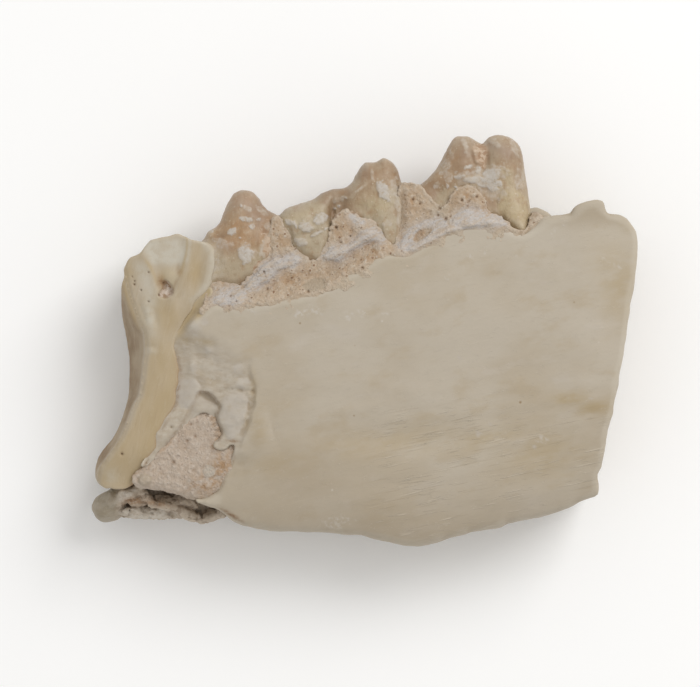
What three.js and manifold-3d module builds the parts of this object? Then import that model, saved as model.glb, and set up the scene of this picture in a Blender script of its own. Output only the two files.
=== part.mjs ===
// Fossil jaw fragment of a small hoofed mammal, about 64 x 48 x 15 mm, lying on its
// outer (cheek) side with the inner (tongue) side up. Millimetres, +Z up.
// X runs from the broken front end to the broken rear end, Y from the lower border
// of the jaw to the tooth tips, Z from the surface it lies on to the upward face.
// Origin: middle of the outline in X and Y, at the level it lies on.
import * as THREE from 'three';
import { mergeVertices } from 'three/addons/utils/BufferGeometryUtils.js';
import Module from 'manifold-3d';

const wasm = await Module();
wasm.setup();

// ---------------------------------------------------------------- driving sizes
const GAP = 0.3;              // clearance left where one piece is seated in another
const BONE_FACE = 14.3;       // height of the upward face of the jaw bone
const BONE_UNDER = 1.3;       // general height of the underside above the surface
const BONE_SQUARE = 3.6;      // section exponent: 2 is an ellipse, larger is squarer
const BORDER_FALL = 0.0026;   // how fast the upward face falls towards the lower border
const GROOVE_DEPTH = 0.45;    // shallow lengthwise groove on the upward face
const BREAK_STEP = 1.05;      // depth of the flaked patch where it meets the broken tooth
const HOLLOW_FLOOR = 12.1;    // height of the floor of the hollow above the end plug
const CHEEK_WALL_TOP = 3.6;   // rise of the outer wall above the inner gum margin
const CHEEK_WALL_FACE = 3.4;  // height of that wall's inner side
const ROOT_FACE = 12.8;       // height of the ridge along the broken tooth's root
const ROOT_UNDER = 3.9;       // underside of the root
const FAR_WALL = 3.2;         // height of the bone that passes under the root
const STUMP_FACE = 13.0;      // height of the broken tooth's crown
const PULP_DEPTH = 0.55;      // depth of the opened pulp chamber
const CANAL_DEPTH = 1.3;      // extra depth of the canal at its point
const CROWN_FACE = 12.9;      // upward face of the three crowns
const CROWN_UNDER = 3.9;      // downward face of the three crowns
const MATRIX_FACE = 12.7;     // upward face of the sediment along the gum
const PLUG_FACE = 12.4;       // upward face of the sediment in the broken end
const PLUG_UNDER = 4.0;
const CRUST_FACE = 8.2;       // upward face of the crumbly crust under the front end

// ---------------------------------------------------------------- small functions
const clamp = (v, lo, hi) => Math.min(hi, Math.max(lo, v));
const bump = (d, height, half) => height * Math.exp(-(d * d) / (half * half));
const blob = (x, y, cx, cy, height, rx, ry = rx) =>
  height * Math.exp(-(((x - cx) / rx) ** 2) - (((y - cy) / ry) ** 2));
const ease = (from, to, v) => {
  const t = clamp((v - from) / (to - from), 0, 1);
  return t * t * (3 - 2 * t);
};

// A smooth curve through a few stations [where, value] that never overshoots them.
function profile(...stations) {
  const n = stations.length;
  const secant = [];
  for (let i = 0; i < n - 1; i++) {
    secant.push((stations[i + 1][1] - stations[i][1]) / (stations[i + 1][0] - stations[i][0]));
  }
  const slope = stations.map((_, i) => {
    if (i === 0) return secant[0];
    if (i === n - 1) return secant[n - 2];
    const a = secant[i - 1], b = secant[i];
    return a * b <= 0 ? 0 : (2 * a * b) / (a + b);
  });
  return (where) => {
    const w = clamp(where, stations[0][0], stations[n - 1][0]);
    let i = 0;
    while (i < n - 2 && w > stations[i + 1][0]) i++;
    const h = stations[i + 1][0] - stations[i][0];
    const t = (w - stations[i][0]) / h;
    return (2 * t ** 3 - 3 * t ** 2 + 1) * stations[i][1] + (t ** 3 - 2 * t ** 2 + t) * h * slope[i]
      + (3 * t ** 2 - 2 * t ** 3) * stations[i + 1][1] + (t ** 3 - t ** 2) * h * slope[i + 1];
  };
}

// Unit section: a rounded rectangle as points [across, up], evenly spaced along the
// rim of a shape whose width is `aspect` times its height.
function section(count, square, aspect) {
  const rim = [];
  const steps = 720;
  for (let i = 0; i <= steps; i++) {
    const a = (i / steps) * Math.PI * 2;
    const c = Math.cos(a), s = Math.sin(a);
    rim.push([Math.sign(c) * Math.abs(c) ** (2 / square), Math.sign(s) * Math.abs(s) ** (2 / square)]);
  }
  const run = [0];
  for (let i = 1; i <= steps; i++) {
    run.push(run[i - 1] + Math.hypot((rim[i][0] - rim[i - 1][0]) * aspect, rim[i][1] - rim[i - 1][1]));
  }
  const points = [];
  for (let k = 0, i = 0; k < count; k++) {
    const goal = (k / count) * run[steps];
    while (run[i + 1] < goal) i++;
    const t = (goal - run[i]) / (run[i + 1] - run[i]);
    points.push([THREE.MathUtils.lerp(rim[i][0], rim[i + 1][0], t),
      THREE.MathUtils.lerp(rim[i][1], rim[i + 1][1], t)]);
  }
  return points;
}

// A closed body: a cylinder whose rings are laid by place(along, across, up).
// along runs 0 to 1; across and up are the unit section's coordinates.
function loft(rings, points, place) {
  const count = points.length;
  const geometry = new THREE.CylinderGeometry(1, 1, 1, count, rings);
  const at = geometry.attributes.position;
  const v = new THREE.Vector3();
  for (let i = 0; i < at.count; i++) {
    v.fromBufferAttribute(at, i);
    const radius = Math.hypot(v.x, v.z) > 0.5 ? 1 : 0;
    const k = (Math.round((Math.atan2(v.z, v.x) / (Math.PI * 2)) * count) + count) % count;
    v.copy(place(v.y + 0.5, points[k][0] * radius, points[k][1] * radius));
    at.setXYZ(i, v.x, v.y, v.z);
  }
  return toSolid(geometry);
}

function toSolid(geometry) {
  geometry.deleteAttribute('normal');
  geometry.deleteAttribute('uv');
  const merged = mergeVertices(geometry, 1e-4);
  const vertProperties = new Float32Array(merged.attributes.position.array);
  const triVerts = new Uint32Array(merged.index.array);
  const corner = (n) => new THREE.Vector3().fromArray(vertProperties, triVerts[n] * 3);
  let volume = 0;
  for (let i = 0; i < triVerts.length; i += 3) {
    volume += corner(i).dot(corner(i + 1).cross(corner(i + 2)));
  }
  if (volume < 0) {
    for (let i = 0; i < triVerts.length; i += 3) {
      [triVerts[i + 1], triVerts[i + 2]] = [triVerts[i + 2], triVerts[i + 1]];
    }
  }
  return new wasm.Manifold(new wasm.Mesh({ numProp: 3, vertProperties, triVerts }));
}

function block(x0, x1, y0, y1, z0, z1) {
  const box = new THREE.BoxGeometry(x1 - x0, y1 - y0, z1 - z0);
  box.translate((x0 + x1) / 2, (y0 + y1) / 2, (z0 + z1) / 2);
  return toSolid(box);
}

// A body whose outline, seen from above, lies between two curves of x.
function alongX({ from, to, top, bottom, face, under, square = 3, rings = 24, count = 16,
  left = null, right = null, waist = null }, grow = 0) {
  const points = section(count, square, 2.4);
  return loft(rings, points, (along, across, up) => {
    const s = 0.5 - 0.5 * Math.cos(Math.PI * along) * (0.55 + 0.45 * Math.abs(2 * along - 1));
    let x = from - grow + (to - from + 2 * grow) * s;
    let y = 0;
    for (let pass = 0; pass < 4; pass++) {
      const hi = top(x) + grow, lo = bottom(x) - grow;
      y = (hi + lo) / 2 + ((hi - lo) / 2) * across;
      if (left || right) {
        const x0 = (left ? left(y) : from) - grow, x1 = (right ? right(y) : to) + grow;
        x = x0 + (x1 - x0) * s;
      }
    }
    const z1 = face(x, y), z0 = under(x, y);
    const slim = waist ? waist(s) : 1;
    return new THREE.Vector3(x, y, (z1 + z0) / 2 + ((z1 - z0) / 2 * slim + grow) * up);
  });
}

// A body whose outline, seen from above, lies between two curves of y.
function alongY({ from, to, left, right, face, under, square = 3, rings = 24, count = 16,
  aspect = 1.2 }, grow = 0) {
  const points = section(count, square, aspect);
  return loft(rings, points, (along, across, up) => {
    const y = from - grow + (to - from + 2 * grow) * along;
    const x0 = left(y) - grow, x1 = right(y) + grow;
    const x = (x0 + x1) / 2 + ((x1 - x0) / 2) * across;
    const z1 = face(x, y), z0 = under(x, y);
    return new THREE.Vector3(x, y, (z1 + z0) / 2 + ((z1 - z0) / 2 + grow) * up);
  });
}

// ---------------------------------------------------------------- outlines
// Gum margin of the bone, rising to the rear, and the crest behind the last tooth.
const gumLine = profile([-27, 5.0], [-22.8, 4.6], [-19.1, 3.3], [-13, 3.9], [-4.2, 5.9],
  [2.3, 9.7], [7, 10.8], [12.2, 13.1], [18.6, 12.9], [20.6, 14.3], [31.6, 14.5]);
const crest = (x) => 1.7 * ease(23.0, 25.2, x) * ease(28.3, 27.1, x);
const boneTop = (x) => gumLine(x) + crest(x);
// Lower border: a blunt keel under the second crown, thinning to the front.
const boneBottom = profile([-30, -16.9], [-22, -18.0], [-17.2, -19.2], [-14.6, -21.3],
  [-10, -22.1], [-1.9, -22.45], [5.8, -23.9], [13.5, -22.1], [21.2, -20.2], [27.4, -17.9]);
const rearBreak = profile([-18, 27.0], [-7, 28.9], [5.5, 31.1], [10.7, 32.0], [13, 31.6], [14.6, 30.4]);
const frontBreak = profile([-17, -30.1], [-11.5, -28.2], [-4.5, -26.7], [1.3, -26.5], [5.2, -25.0]);

// ---------------------------------------------------------------- the jaw bone
const boneFace = (x, y) => {
  const fall = BORDER_FALL * Math.min(0, y - 4) ** 2;
  const groove = blob(x, y, 3.5, -10.8, GROOVE_DEPTH, 9, 1.8);
  const flake = BREAK_STEP * ease(2.2, -1.0, y)
    * (0.35 * ease(-12.4, -13.9, x + 0.08 * (y + 5)) + 0.65 * ease(-13.5, -21, x));
  const rear = 0.9 * ease(24, 33, x);
  const gumSwell = blob(x, y, 6, 6, 0.5, 16, 5);
  const high = BONE_FACE - fall - groove - flake - rear + gumSwell;
  return THREE.MathUtils.lerp(high, FAR_WALL, ease(-22.4, -24.6, x));
};
// Three broad swellings under the bone carry it: below the gum, at the lower border
// and at the front end. Each is [x, y, half length, half width, amount worn flat].
const PADS = [[8, 5.5, 8, 4.6, 1.1], [10, -14.5, 9, 4.6, 0.9], [-23.6, -8.5, 4.4, 6.5, 0.3]];
const underPlain = (x, y) => BONE_UNDER + 1.0 * ease(-16, -22, y) + 0.8 * ease(25, 32, x);
const boneUnder = (x, y) => {
  let z = underPlain(x, y);
  for (const [cx, cy, rx, ry, over] of PADS) z -= blob(x, y, cx, cy, underPlain(cx, cy) + over, rx, ry);
  return z;
};
const boneShape = {
  from: -30.1, to: 32, left: frontBreak, right: rearBreak, top: boneTop, bottom: boneBottom,
  face: boneFace, under: boneUnder, square: BONE_SQUARE, rings: 36, count: 28,
};
// The outer wall stands higher than the inner gum margin, behind the crowns.
const cheekWall = alongX({
  from: -18.2, to: 22.5,
  top: (x) => gumLine(x) + CHEEK_WALL_TOP * ease(-18.5, -15, x) * ease(23, 18, x)
    + 0.35 * Math.sin(x * 0.9),
  bottom: (x) => gumLine(x) - 5,
  face: () => CHEEK_WALL_FACE,
  under: (x, y) => boneUnder(x, y) + 0.25,
  square: 3.5, rings: 18, count: 12,
});

// ---------------------------------------------------------------- broken front tooth
const stumpLeft = profile([-17, -30.2], [-15.4, -31.1], [-13.7, -30.9], [-11, -29.0], [-8.3, -27.8],
  [-3.3, -27.4], [3.9, -28.2], [7.5, -27.9], [9.6, -27.4], [10.8, -25.9], [12.5, -22.4]);
const stumpRight = profile([-17, -27.3], [-14.9, -25.8], [-11.9, -23.9], [-8.8, -22.7], [-5.8, -21.7],
  [-3.3, -21.4], [-0.4, -21.9], [2.6, -20.6], [4.9, -19.2], [7.5, -17.3], [9.9, -17.1], [11.1, -17.8],
  [12.5, -20.6]);
const litEdge = profile([-17, -30.4], [-12.8, -29.7], [-8.4, -27.2], [-3.3, -25.6], [1.9, -25.6],
  [7, -27.5], [12.5, -24]);
const stumpFace = (x, y) => {
  const body = THREE.MathUtils.lerp(ROOT_FACE, STUMP_FACE, ease(-6, 8, y)) - 1.6 * ease(-9, -17.2, y) ** 2;
  const flank = 4.6 * ease(litEdge(y) + 0.4, litEdge(y) - 2.2, x) * ease(9, 5, y);
  return body - flank;
};
const stumpShape = {
  from: -17, to: 12.5, left: stumpLeft, right: stumpRight, face: stumpFace,
  under: () => ROOT_UNDER, square: 2.7, rings: 26, count: 20, aspect: 1,
};
// The pulp chamber: a shallow V open to the broken top, with the canal at its point.
const pulpChamber = {
  from: 4.6, to: 13.6,
  left: profile([4.6, -23.5], [6.6, -23.9], [8.3, -24.8], [10, -25.2], [13.6, -25.6]),
  right: profile([4.6, -22.6], [6.6, -21.9], [8.3, -21.2], [10, -20.7], [13.6, -20.2]),
  face: () => STUMP_FACE + 1.6,
  under: (x, y) => STUMP_FACE - PULP_DEPTH - bump(y - 6.8, CANAL_DEPTH, 1.4),
  square: 3, rings: 9, count: 10,
};

// ---------------------------------------------------------------- the three crowns
const rounded = (power) => (s) => Math.max(0.35, (1 - Math.abs(2 * s - 1) ** power) ** (1 / power));
const crownFace = (lean) => (x, y) => CROWN_FACE - lean * Math.max(0, y - 12) ** 1.5;
const crownUnder = (lean) => (x, y) => CROWN_UNDER + lean * Math.max(0, y - 12) ** 1.5;

const frontCrown = {
  from: -17.5, to: -10.2,
  top: profile([-17.7, 13.0], [-16.8, 14.3], [-15.7, 16.6], [-14.9, 17.4], [-13.3, 17.5],
    [-12.3, 16.7], [-11.2, 15.3], [-10.2, 14.6]),
  bottom: profile([-17.7, 9.2], [-17, 6.9], [-14.6, 6.7], [-12.5, 7.9], [-11, 9.3], [-10.2, 12.6]),
  face: crownFace(0.17), under: crownUnder(0.17), waist: rounded(2.4), square: 2.5,
};
const middleCrown = {
  from: -9.7, to: 4.5,
  top: profile([-9.8, 14.5], [-7.2, 16.1], [-3.8, 17.5], [-1.7, 18.1], [0, 20.6], [1, 20.8], [2.3, 21.3],
    [3.6, 20.4], [4.5, 18.3]),
  bottom: profile([-9.6, 13.6], [-8.3, 10.8], [-5.9, 9.2], [-4.9, 10.6], [-3.8, 13.7], [-2.2, 14.9],
    [0.2, 14.4], [2, 12.4], [3.6, 10.4], [4.4, 12.6]),
  face: crownFace(0.11), under: crownUnder(0.11), waist: rounded(2.8), square: 2.5,
};
const rearCrown = {
  from: 5.1, to: 19.4,
  top: profile([5.1, 18.1], [7.4, 18.7], [9.2, 21.1], [10.5, 23.4], [11.7, 23.8], [13.7, 22.9],
    [15.2, 23.9], [17.2, 23.4], [18.5, 21.4], [19.1, 17.4], [19.4, 15.2]),
  bottom: profile([5.1, 17.6], [8.3, 16.2], [15.4, 14.5], [17, 13.2], [18.2, 12.8], [19.4, 14.2]),
  face: crownFace(0.09), under: crownUnder(0.09), waist: rounded(2.8), square: 2.5,
};
const crowns = [frontCrown, middleCrown, rearCrown].map((c) => ({ ...c, rings: 19, count: 15 }));

// ---------------------------------------------------------------- hardened sediment
// A band along the gum that climbs between the crowns.
const gumMatrix = {
  from: -18.3, to: 17.6,
  top: profile([-18.3, 5.6], [-17, 6.9], [-13, 8.6], [-11.3, 10.3], [-10, 14.2], [-8.4, 11.8], [-5.6, 10.0],
    [-3.4, 14.6], [-0.2, 14.9], [3.2, 11.4], [4.6, 18.0], [8, 16.6], [15.4, 14.8], [17.6, 13.4]),
  bottom: (x) => gumLine(x) - 1.6,
  face: (x, y) => MATRIX_FACE + 0.9 * ease(4, -1, y - gumLine(x)) + 0.25 * Math.sin(1.7 * x) * Math.cos(1.3 * y),
  under: () => CHEEK_WALL_FACE + GAP,
  square: 4, rings: 28, count: 10,
};
// The plug in the broken end, between the root and the bone.
const plug = {
  from: -18.4, to: -8.0,
  left: profile([-18.4, -21.2], [-17.3, -24.9], [-16.2, -26.1], [-14.7, -25.3], [-12.2, -22.9], [-9.2, -20.2],
    [-8.0, -19.0]),
  right: profile([-18.4, -19.0], [-17.6, -17.2], [-16.6, -16.4], [-14, -15.3], [-12.4, -15.1], [-10.9, -16.5],
    [-9.1, -17.3], [-8.0, -18.2]),
  face: (x, y) => PLUG_FACE - 0.9 * ease(-14, -18.5, y) + 0.2 * Math.sin(2.1 * x + 1.7 * y),
  under: () => PLUG_UNDER, square: 3.2, rings: 16, count: 16,
};
// The hollow in the bone above the plug, open to the upward face.
const hollow = {
  from: -11.6, to: -5.7,
  left: profile([-11.6, -21.9], [-9.3, -20.3], [-7.2, -19.3], [-5.7, -18.6]),
  right: profile([-11.6, -17.2], [-9.1, -17.2], [-7.4, -16.8], [-6.6, -16.8], [-5.7, -17.8]),
  face: () => BONE_FACE + 1, under: () => HOLLOW_FLOOR, square: 4, rings: 5, count: 10,
};
// Crumbly crust and a smooth lobe below the broken end.
const crust = {
  from: -32, to: -16.9,
  top: profile([-32, -18.8], [-30.6, -17.8], [-27, -17.7], [-22, -18.8], [-16.9, -19.7]),
  bottom: profile([-32, -19.6], [-31.3, -20.7], [-29.8, -21.1], [-27.6, -20.3], [-25.3, -20.8], [-21.4, -20.3],
    [-19.6, -21.2], [-17.4, -20.6], [-16.9, -20.2]),
  face: (x, y) => CRUST_FACE - 0.8 * ease(-27, -31, x) - 1.6 * ease(-22, -17, x)
    + 0.45 * Math.sin(1.9 * x) * Math.sin(1.3 * y + 1),
  under: () => 1.4, square: 2.4, rings: 20, count: 12,
};

// ---------------------------------------------------------------- seat the pieces
const crownBodies = crowns.map((c) => alongX(c));
const crownSeats = crowns.map((c) => alongX(c, GAP));
const underFloor = block(-60, 60, -60, 60, -20, 0);

const stumpBody = alongY(stumpShape).subtract(alongY(pulpChamber));
const stumpSeat = alongY(stumpShape, GAP);
const plugBody = alongY(plug).subtract(stumpSeat);
const plugSeat = alongY(plug, GAP);
const boneSeat = alongX(boneShape, GAP);
const bone = alongX(boneShape).add(cheekWall).subtract(underFloor).subtract(alongY(hollow))
  .subtract(stumpSeat).subtract(plugSeat);
const crustBody = alongX(crust).subtract(stumpSeat).subtract(plugSeat);
const matrixBody = [...crownSeats, boneSeat, stumpSeat].reduce((body, seat) => body.subtract(seat), alongX(gumMatrix));
const seatedCrowns = crownBodies.map((body) => body.subtract(stumpSeat));

// ---------------------------------------------------------------- finish and names
const finish = (color, roughness) => new THREE.MeshStandardMaterial({ color, roughness, metalness: 0 });
const fossilBone = finish('#b8ac98', 0.6);
const dentine = finish('#b9a986', 0.45);
const enamel = finish('#a5937b', 0.38);
const sediment = finish('#b7a391', 0.95);
const darkSediment = finish('#948876', 0.95);

function largest(solid) {
  return solid.decompose().reduce((best, piece) => (piece.volume() > best.volume() ? piece : best));
}

function piece(name, solid, material) {
  const mesh = largest(solid).getMesh();
  const geometry = new THREE.BufferGeometry();
  geometry.setAttribute('position', new THREE.BufferAttribute(new Float32Array(mesh.vertProperties), 3));
  geometry.setIndex(new THREE.BufferAttribute(new Uint32Array(mesh.triVerts), 1));
  geometry.computeVertexNormals();
  const out = new THREE.Mesh(geometry, material);
  out.name = name;
  return out;
}

const jaw = new THREE.Group();
jaw.name = 'fossil_jaw';
jaw.add(piece('jaw_bone', bone, fossilBone));
jaw.add(piece('broken_tooth', stumpBody, dentine));
jaw.add(piece('crown_front', seatedCrowns[0], enamel));
jaw.add(piece('crown_middle', seatedCrowns[1], enamel));
jaw.add(piece('crown_rear', seatedCrowns[2], enamel));
jaw.add(piece('gum_matrix', matrixBody, sediment));
jaw.add(piece('end_plug', plugBody, sediment));
jaw.add(piece('end_crust', crustBody, darkSediment));

export default jaw;
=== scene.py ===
# Fossil jaw fragment: the looks. Shapes are fields in millimetres, negative inside, in
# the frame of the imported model; the meshes made from them are written in metres.
import math
import bpy
import numpy as np
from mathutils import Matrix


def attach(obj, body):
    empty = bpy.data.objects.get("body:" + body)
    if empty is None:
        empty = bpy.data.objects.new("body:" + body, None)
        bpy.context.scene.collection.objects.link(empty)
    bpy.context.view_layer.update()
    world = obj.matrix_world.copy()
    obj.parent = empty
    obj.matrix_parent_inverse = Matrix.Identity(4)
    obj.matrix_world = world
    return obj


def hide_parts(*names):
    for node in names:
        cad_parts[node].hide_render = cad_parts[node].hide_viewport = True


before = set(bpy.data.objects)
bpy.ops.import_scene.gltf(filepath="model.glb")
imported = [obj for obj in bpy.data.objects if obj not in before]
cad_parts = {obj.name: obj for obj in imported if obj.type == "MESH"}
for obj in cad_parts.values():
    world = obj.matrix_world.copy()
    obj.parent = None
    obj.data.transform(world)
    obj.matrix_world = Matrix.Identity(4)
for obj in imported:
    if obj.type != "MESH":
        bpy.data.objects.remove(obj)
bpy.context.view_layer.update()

import openvdb
from mathutils import Vector

MM = 0.001
COARSE = 1.0         # voxel size factor


# ------------------------------------------------------------------ small functions
def profile(*stations):
    """A smooth curve through a few [where, value] stations that never overshoots."""
    xs = np.array([s[0] for s in stations], float)
    ys = np.array([s[1] for s in stations], float)
    h = np.diff(xs)
    d = np.diff(ys) / h
    m = np.zeros_like(xs)
    m[0], m[-1] = d[0], d[-1]
    for i in range(1, len(xs) - 1):
        a, b = d[i - 1], d[i]
        m[i] = 0 if a * b <= 0 else 2 * a * b / (a + b)

    def at(w):
        w = np.clip(w, xs[0], xs[-1])
        i = np.clip(np.searchsorted(xs, w, side="right") - 1, 0, len(xs) - 2)
        t = (w - xs[i]) / h[i]
        return ((2 * t ** 3 - 3 * t ** 2 + 1) * ys[i] + (t ** 3 - 2 * t ** 2 + t) * h[i] * m[i]
                + (3 * t ** 2 - 2 * t ** 3) * ys[i + 1] + (t ** 3 - t ** 2) * h[i] * m[i + 1])
    return at


def ease(a, b, v):
    t = np.clip((v - a) / (b - a), 0, 1)
    return t * t * (3 - 2 * t)


def lerp(a, b, t):
    return a + (b - a) * t


def blob(x, y, cx, cy, height, rx, ry=None, turn=0.0):
    ry = rx if ry is None else ry
    c, s = math.cos(math.radians(turn)), math.sin(math.radians(turn))
    u, v = (x - cx) * c + (y - cy) * s, -(x - cx) * s + (y - cy) * c
    return height * np.exp(-(u / rx) ** 2 - (v / ry) ** 2)


def both(a, b, r):
    """Where two bodies meet, with the edge between them rounded to r."""
    u, v = np.maximum(a + r, 0), np.maximum(b + r, 0)
    return np.minimum(np.maximum(a, b), -r) + np.sqrt(u * u + v * v)


def either(a, b, r):
    """Two bodies joined, with the corner between them filled to r."""
    u, v = np.maximum(r - a, 0), np.maximum(r - b, 0)
    return np.maximum(np.minimum(a, b), r) - np.sqrt(u * u + v * v)


def less(a, b, r):
    return both(a, -b, r)


def _hash(ix, iy, iz, seed):
    h = (ix.astype(np.uint32) * np.uint32(0x8DA6B343)) ^ (iy.astype(np.uint32) * np.uint32(0xD8163841))
    h ^= (iz.astype(np.uint32) * np.uint32(0xCB1AB31F)) ^ np.uint32((seed * 0x9E3779B1) & 0xFFFFFFFF)
    h ^= h >> np.uint32(15)
    h *= np.uint32(0x85EBCA6B)
    h ^= h >> np.uint32(13)
    h *= np.uint32(0xC2B2AE35)
    h ^= h >> np.uint32(16)
    return h


def _cells(x, y, z):
    x, y, z = np.broadcast_arrays(np.asarray(x, np.float32), np.asarray(y, np.float32),
                                  np.asarray(z, np.float32) + np.float32(0.37))
    fx, fy, fz = np.floor(x), np.floor(y), np.floor(z)
    return (fx.astype(np.int32), fy.astype(np.int32), fz.astype(np.int32)), (x - fx, y - fy, z - fz)


def noise(x, y, z=0.0, seed=1):
    """Gradient noise, about -1 to 1, one cell per unit."""
    (ix, iy, iz), (fx, fy, fz) = _cells(x, y, z)
    u = fx * fx * fx * (fx * (fx * 6 - 15) + 10)
    v = fy * fy * fy * (fy * (fy * 6 - 15) + 10)
    w = fz * fz * fz * (fz * (fz * 6 - 15) + 10)
    out = 0.0
    for dx in (0, 1):
        for dy in (0, 1):
            for dz in (0, 1):
                h = _hash(ix + dx, iy + dy, iz + dz, seed)
                gx = (h & np.uint32(1023)).astype(np.float32) / 511.5 - 1
                gy = ((h >> np.uint32(10)) & np.uint32(1023)).astype(np.float32) / 511.5 - 1
                gz = ((h >> np.uint32(20)) & np.uint32(1023)).astype(np.float32) / 511.5 - 1
                dot = gx * (fx - dx) + gy * (fy - dy) + gz * (fz - dz)
                out = out + dot * (u if dx else 1 - u) * (v if dy else 1 - v) * (w if dz else 1 - w)
    return out * 1.5


def grains(x, y, z=0.0, seed=1):
    """Packed grains: distance from the nearest grain's middle, and that grain's own number."""
    (ix, iy, iz), (fx, fy, fz) = _cells(x, y, z)
    near = np.full(fx.shape, 9.0, np.float32)
    own = np.zeros(fx.shape, np.float32)
    for dx in (-1, 0, 1):
        for dy in (-1, 0, 1):
            for dz in (-1, 0, 1):
                h = _hash(ix + dx, iy + dy, iz + dz, seed)
                gx = (h & np.uint32(255)).astype(np.float32) / 255 + dx - fx
                gy = ((h >> np.uint32(8)) & np.uint32(255)).astype(np.float32) / 255 + dy - fy
                gz = ((h >> np.uint32(16)) & np.uint32(255)).astype(np.float32) / 255 + dz - fz
                d = gx * gx + gy * gy + gz * gz
                closer = d < near
                near = np.where(closer, d, near)
                own = np.where(closer, (h >> np.uint32(24)).astype(np.float32) / 255, own)
    return np.sqrt(near), own


def fbm(x, y, z=0.0, seed=1, octaves=3, gain=0.5):
    total, amp = 0.0, 1.0
    for k in range(octaves):
        total = total + amp * noise(np.asarray(x) * 2 ** k, np.asarray(y) * 2 ** k, np.asarray(z) * 2 ** k, seed + 17 * k)
        amp *= gain
    return total


def smooth_line(points, steps=5, closed=True):
    """A curve through the control points."""
    p = np.array(points, float)
    n = len(p)
    out = []
    for i in range(n if closed else n - 1):
        if closed:
            a, b, c, d = p[i - 1], p[i], p[(i + 1) % n], p[(i + 2) % n]
        else:
            a, b, c, d = p[max(i - 1, 0)], p[i], p[i + 1], p[min(i + 2, n - 1)]
        for k in range(steps):
            t = k / steps
            out.append(0.5 * ((2 * b) + (c - a) * t + (2 * a - 5 * b + 4 * c - d) * t * t
                              + (3 * b - a - 3 * c + d) * t ** 3))
    if not closed:
        out.append(p[-1])
    return np.array(out)


def line_distance(X, Y, points, steps=4):
    q = smooth_line(points, steps, closed=False) if steps else np.asarray(points, float)
    best = np.full(np.shape(X), 1e9)
    for (ax, ay), (bx, by) in zip(q[:-1], q[1:]):
        ex, ey = bx - ax, by - ay
        t = np.clip(((X - ax) * ex + (Y - ay) * ey) / (ex * ex + ey * ey + 1e-12), 0, 1)
        best = np.minimum(best, (X - ax - t * ex) ** 2 + (Y - ay - t * ey) ** 2)
    return np.sqrt(best)


def loop_distance(X, Y, points, steps=4):
    """Signed distance to a smooth closed loop, negative inside."""
    p = smooth_line(points, steps)
    q = np.vstack([p, p[:1]])
    inside = np.zeros(np.shape(X), bool)
    for (ax, ay), (bx, by) in zip(q[:-1], q[1:]):
        if ay == by:
            continue
        inside ^= ((ay > Y) != (by > Y)) & (X < (bx - ax) * (Y - ay) / (by - ay) + ax)
    d = line_distance(X, Y, q, 0)
    return np.where(inside, -d, d)


def pillow(d, height, soft, crease=0.0, width=0.22):
    """A swelling inside a loop, with an optional crease along the loop."""
    t = np.clip(-d / soft, 0, 1)
    return height * np.sqrt(np.clip(1 - (1 - t) ** 2, 0, 1)) - crease * np.exp(-(d / width) ** 2)


def above(Y, curve, X):
    """Signed distance above a curve y(x), positive above it."""
    slope = (curve(X + 0.12) - curve(X - 0.12)) / 0.24
    return (Y - curve(X)) / np.sqrt(1 + slope * slope)


def axis(*runs):
    """Positions along one axis from [start, step] runs and a final end, with gradual steps."""
    *pairs, end = runs
    out = [pairs[0][0]]
    while out[-1] < end:
        step = np.interp(out[-1], [p[0] for p in pairs], [p[1] for p in pairs])
        out.append(out[-1] + step * COARSE)
    return np.array(out)


class Grid:
    def __init__(self, x, y, z):
        self.x, self.y, self.z = x, y, z
        self.X, self.Y = np.meshgrid(x, y, indexing="ij")
        self.Z = z[None, None, :].astype(np.float32)

    def up(self, plane):
        return np.broadcast_to(np.asarray(plane, np.float32), self.X.shape)[:, :, None]

    def body(self, flat, face, under, edge, lean=0.0):
        """A plate with the outline flat, between two heights, its edges rounded to edge, its sides drawn in by lean."""
        edge = self.up(edge) if np.ndim(edge) else edge
        return both(self.up(flat) + lean, np.maximum(self.Z - self.up(face), self.up(under) - self.Z), edge)

    def rough(self, field, make, reach=0.8):
        """Adds make(x, y, z) to the field where it is within reach of the surface."""
        i, j, k = np.nonzero(np.abs(field) < reach)
        field[i, j, k] += make(self.x[i], self.y[j], self.z[k]).astype(field.dtype)
        return field


def uniform(lo, hi, step):
    return Grid(*(np.arange(lo[k], hi[k] + step * COARSE, step * COARSE) for k in range(3)))


def skin(name, grid, field, nodes, settle=1):
    """Turns a field into a mesh object that stands for CAD nodes."""
    band = 0.8
    field = np.clip(field, -band, band).astype(np.float32)
    for edge in (np.s_[0], np.s_[-1], np.s_[:, 0], np.s_[:, -1], np.s_[:, :, 0], np.s_[:, :, -1]):
        field[edge] = band
    volume = openvdb.FloatGrid(band)
    volume.copyFromArray(field, tolerance=1e-6)
    points, quads = volume.convertToQuads(0.0)
    index = points.astype(np.float64)
    points = np.stack([np.interp(index[:, k], np.arange(len(a)), a) for k, a in enumerate((grid.x, grid.y, grid.z))], 1)
    points, quads = largest_part(points, quads.astype(np.int64))
    for _ in range(settle):
        points = points + 0.35 * (neighbours(points, quads) - points)
    mesh = bpy.data.meshes.new(name)
    mesh.from_pydata((points * MM).tolist(), [], quads.tolist())
    mesh.polygons.foreach_set("use_smooth", np.ones(len(quads), bool))
    mesh.update()
    ob = bpy.data.objects.new(name, mesh)
    bpy.context.scene.collection.objects.link(ob)
    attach(ob, "root")
    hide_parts(*nodes)
    normals = np.zeros(len(points) * 3, np.float32)
    mesh.vertex_normals.foreach_get("vector", normals)
    normals = normals.reshape(-1, 3).astype(float)
    soft = points
    for _ in range(10):
        soft = neighbours(soft, quads)
    # the looks use hollow for painted shade in hollows and a painted highlight on bumps
    hollow = ((soft - points) * normals).sum(1)         # how far a point lies below its surroundings
    print(name, len(points), "points", 2 * len(quads), "triangles", points.min(0).round(2), points.max(0).round(2))
    return ob, points, normals, hollow


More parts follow.
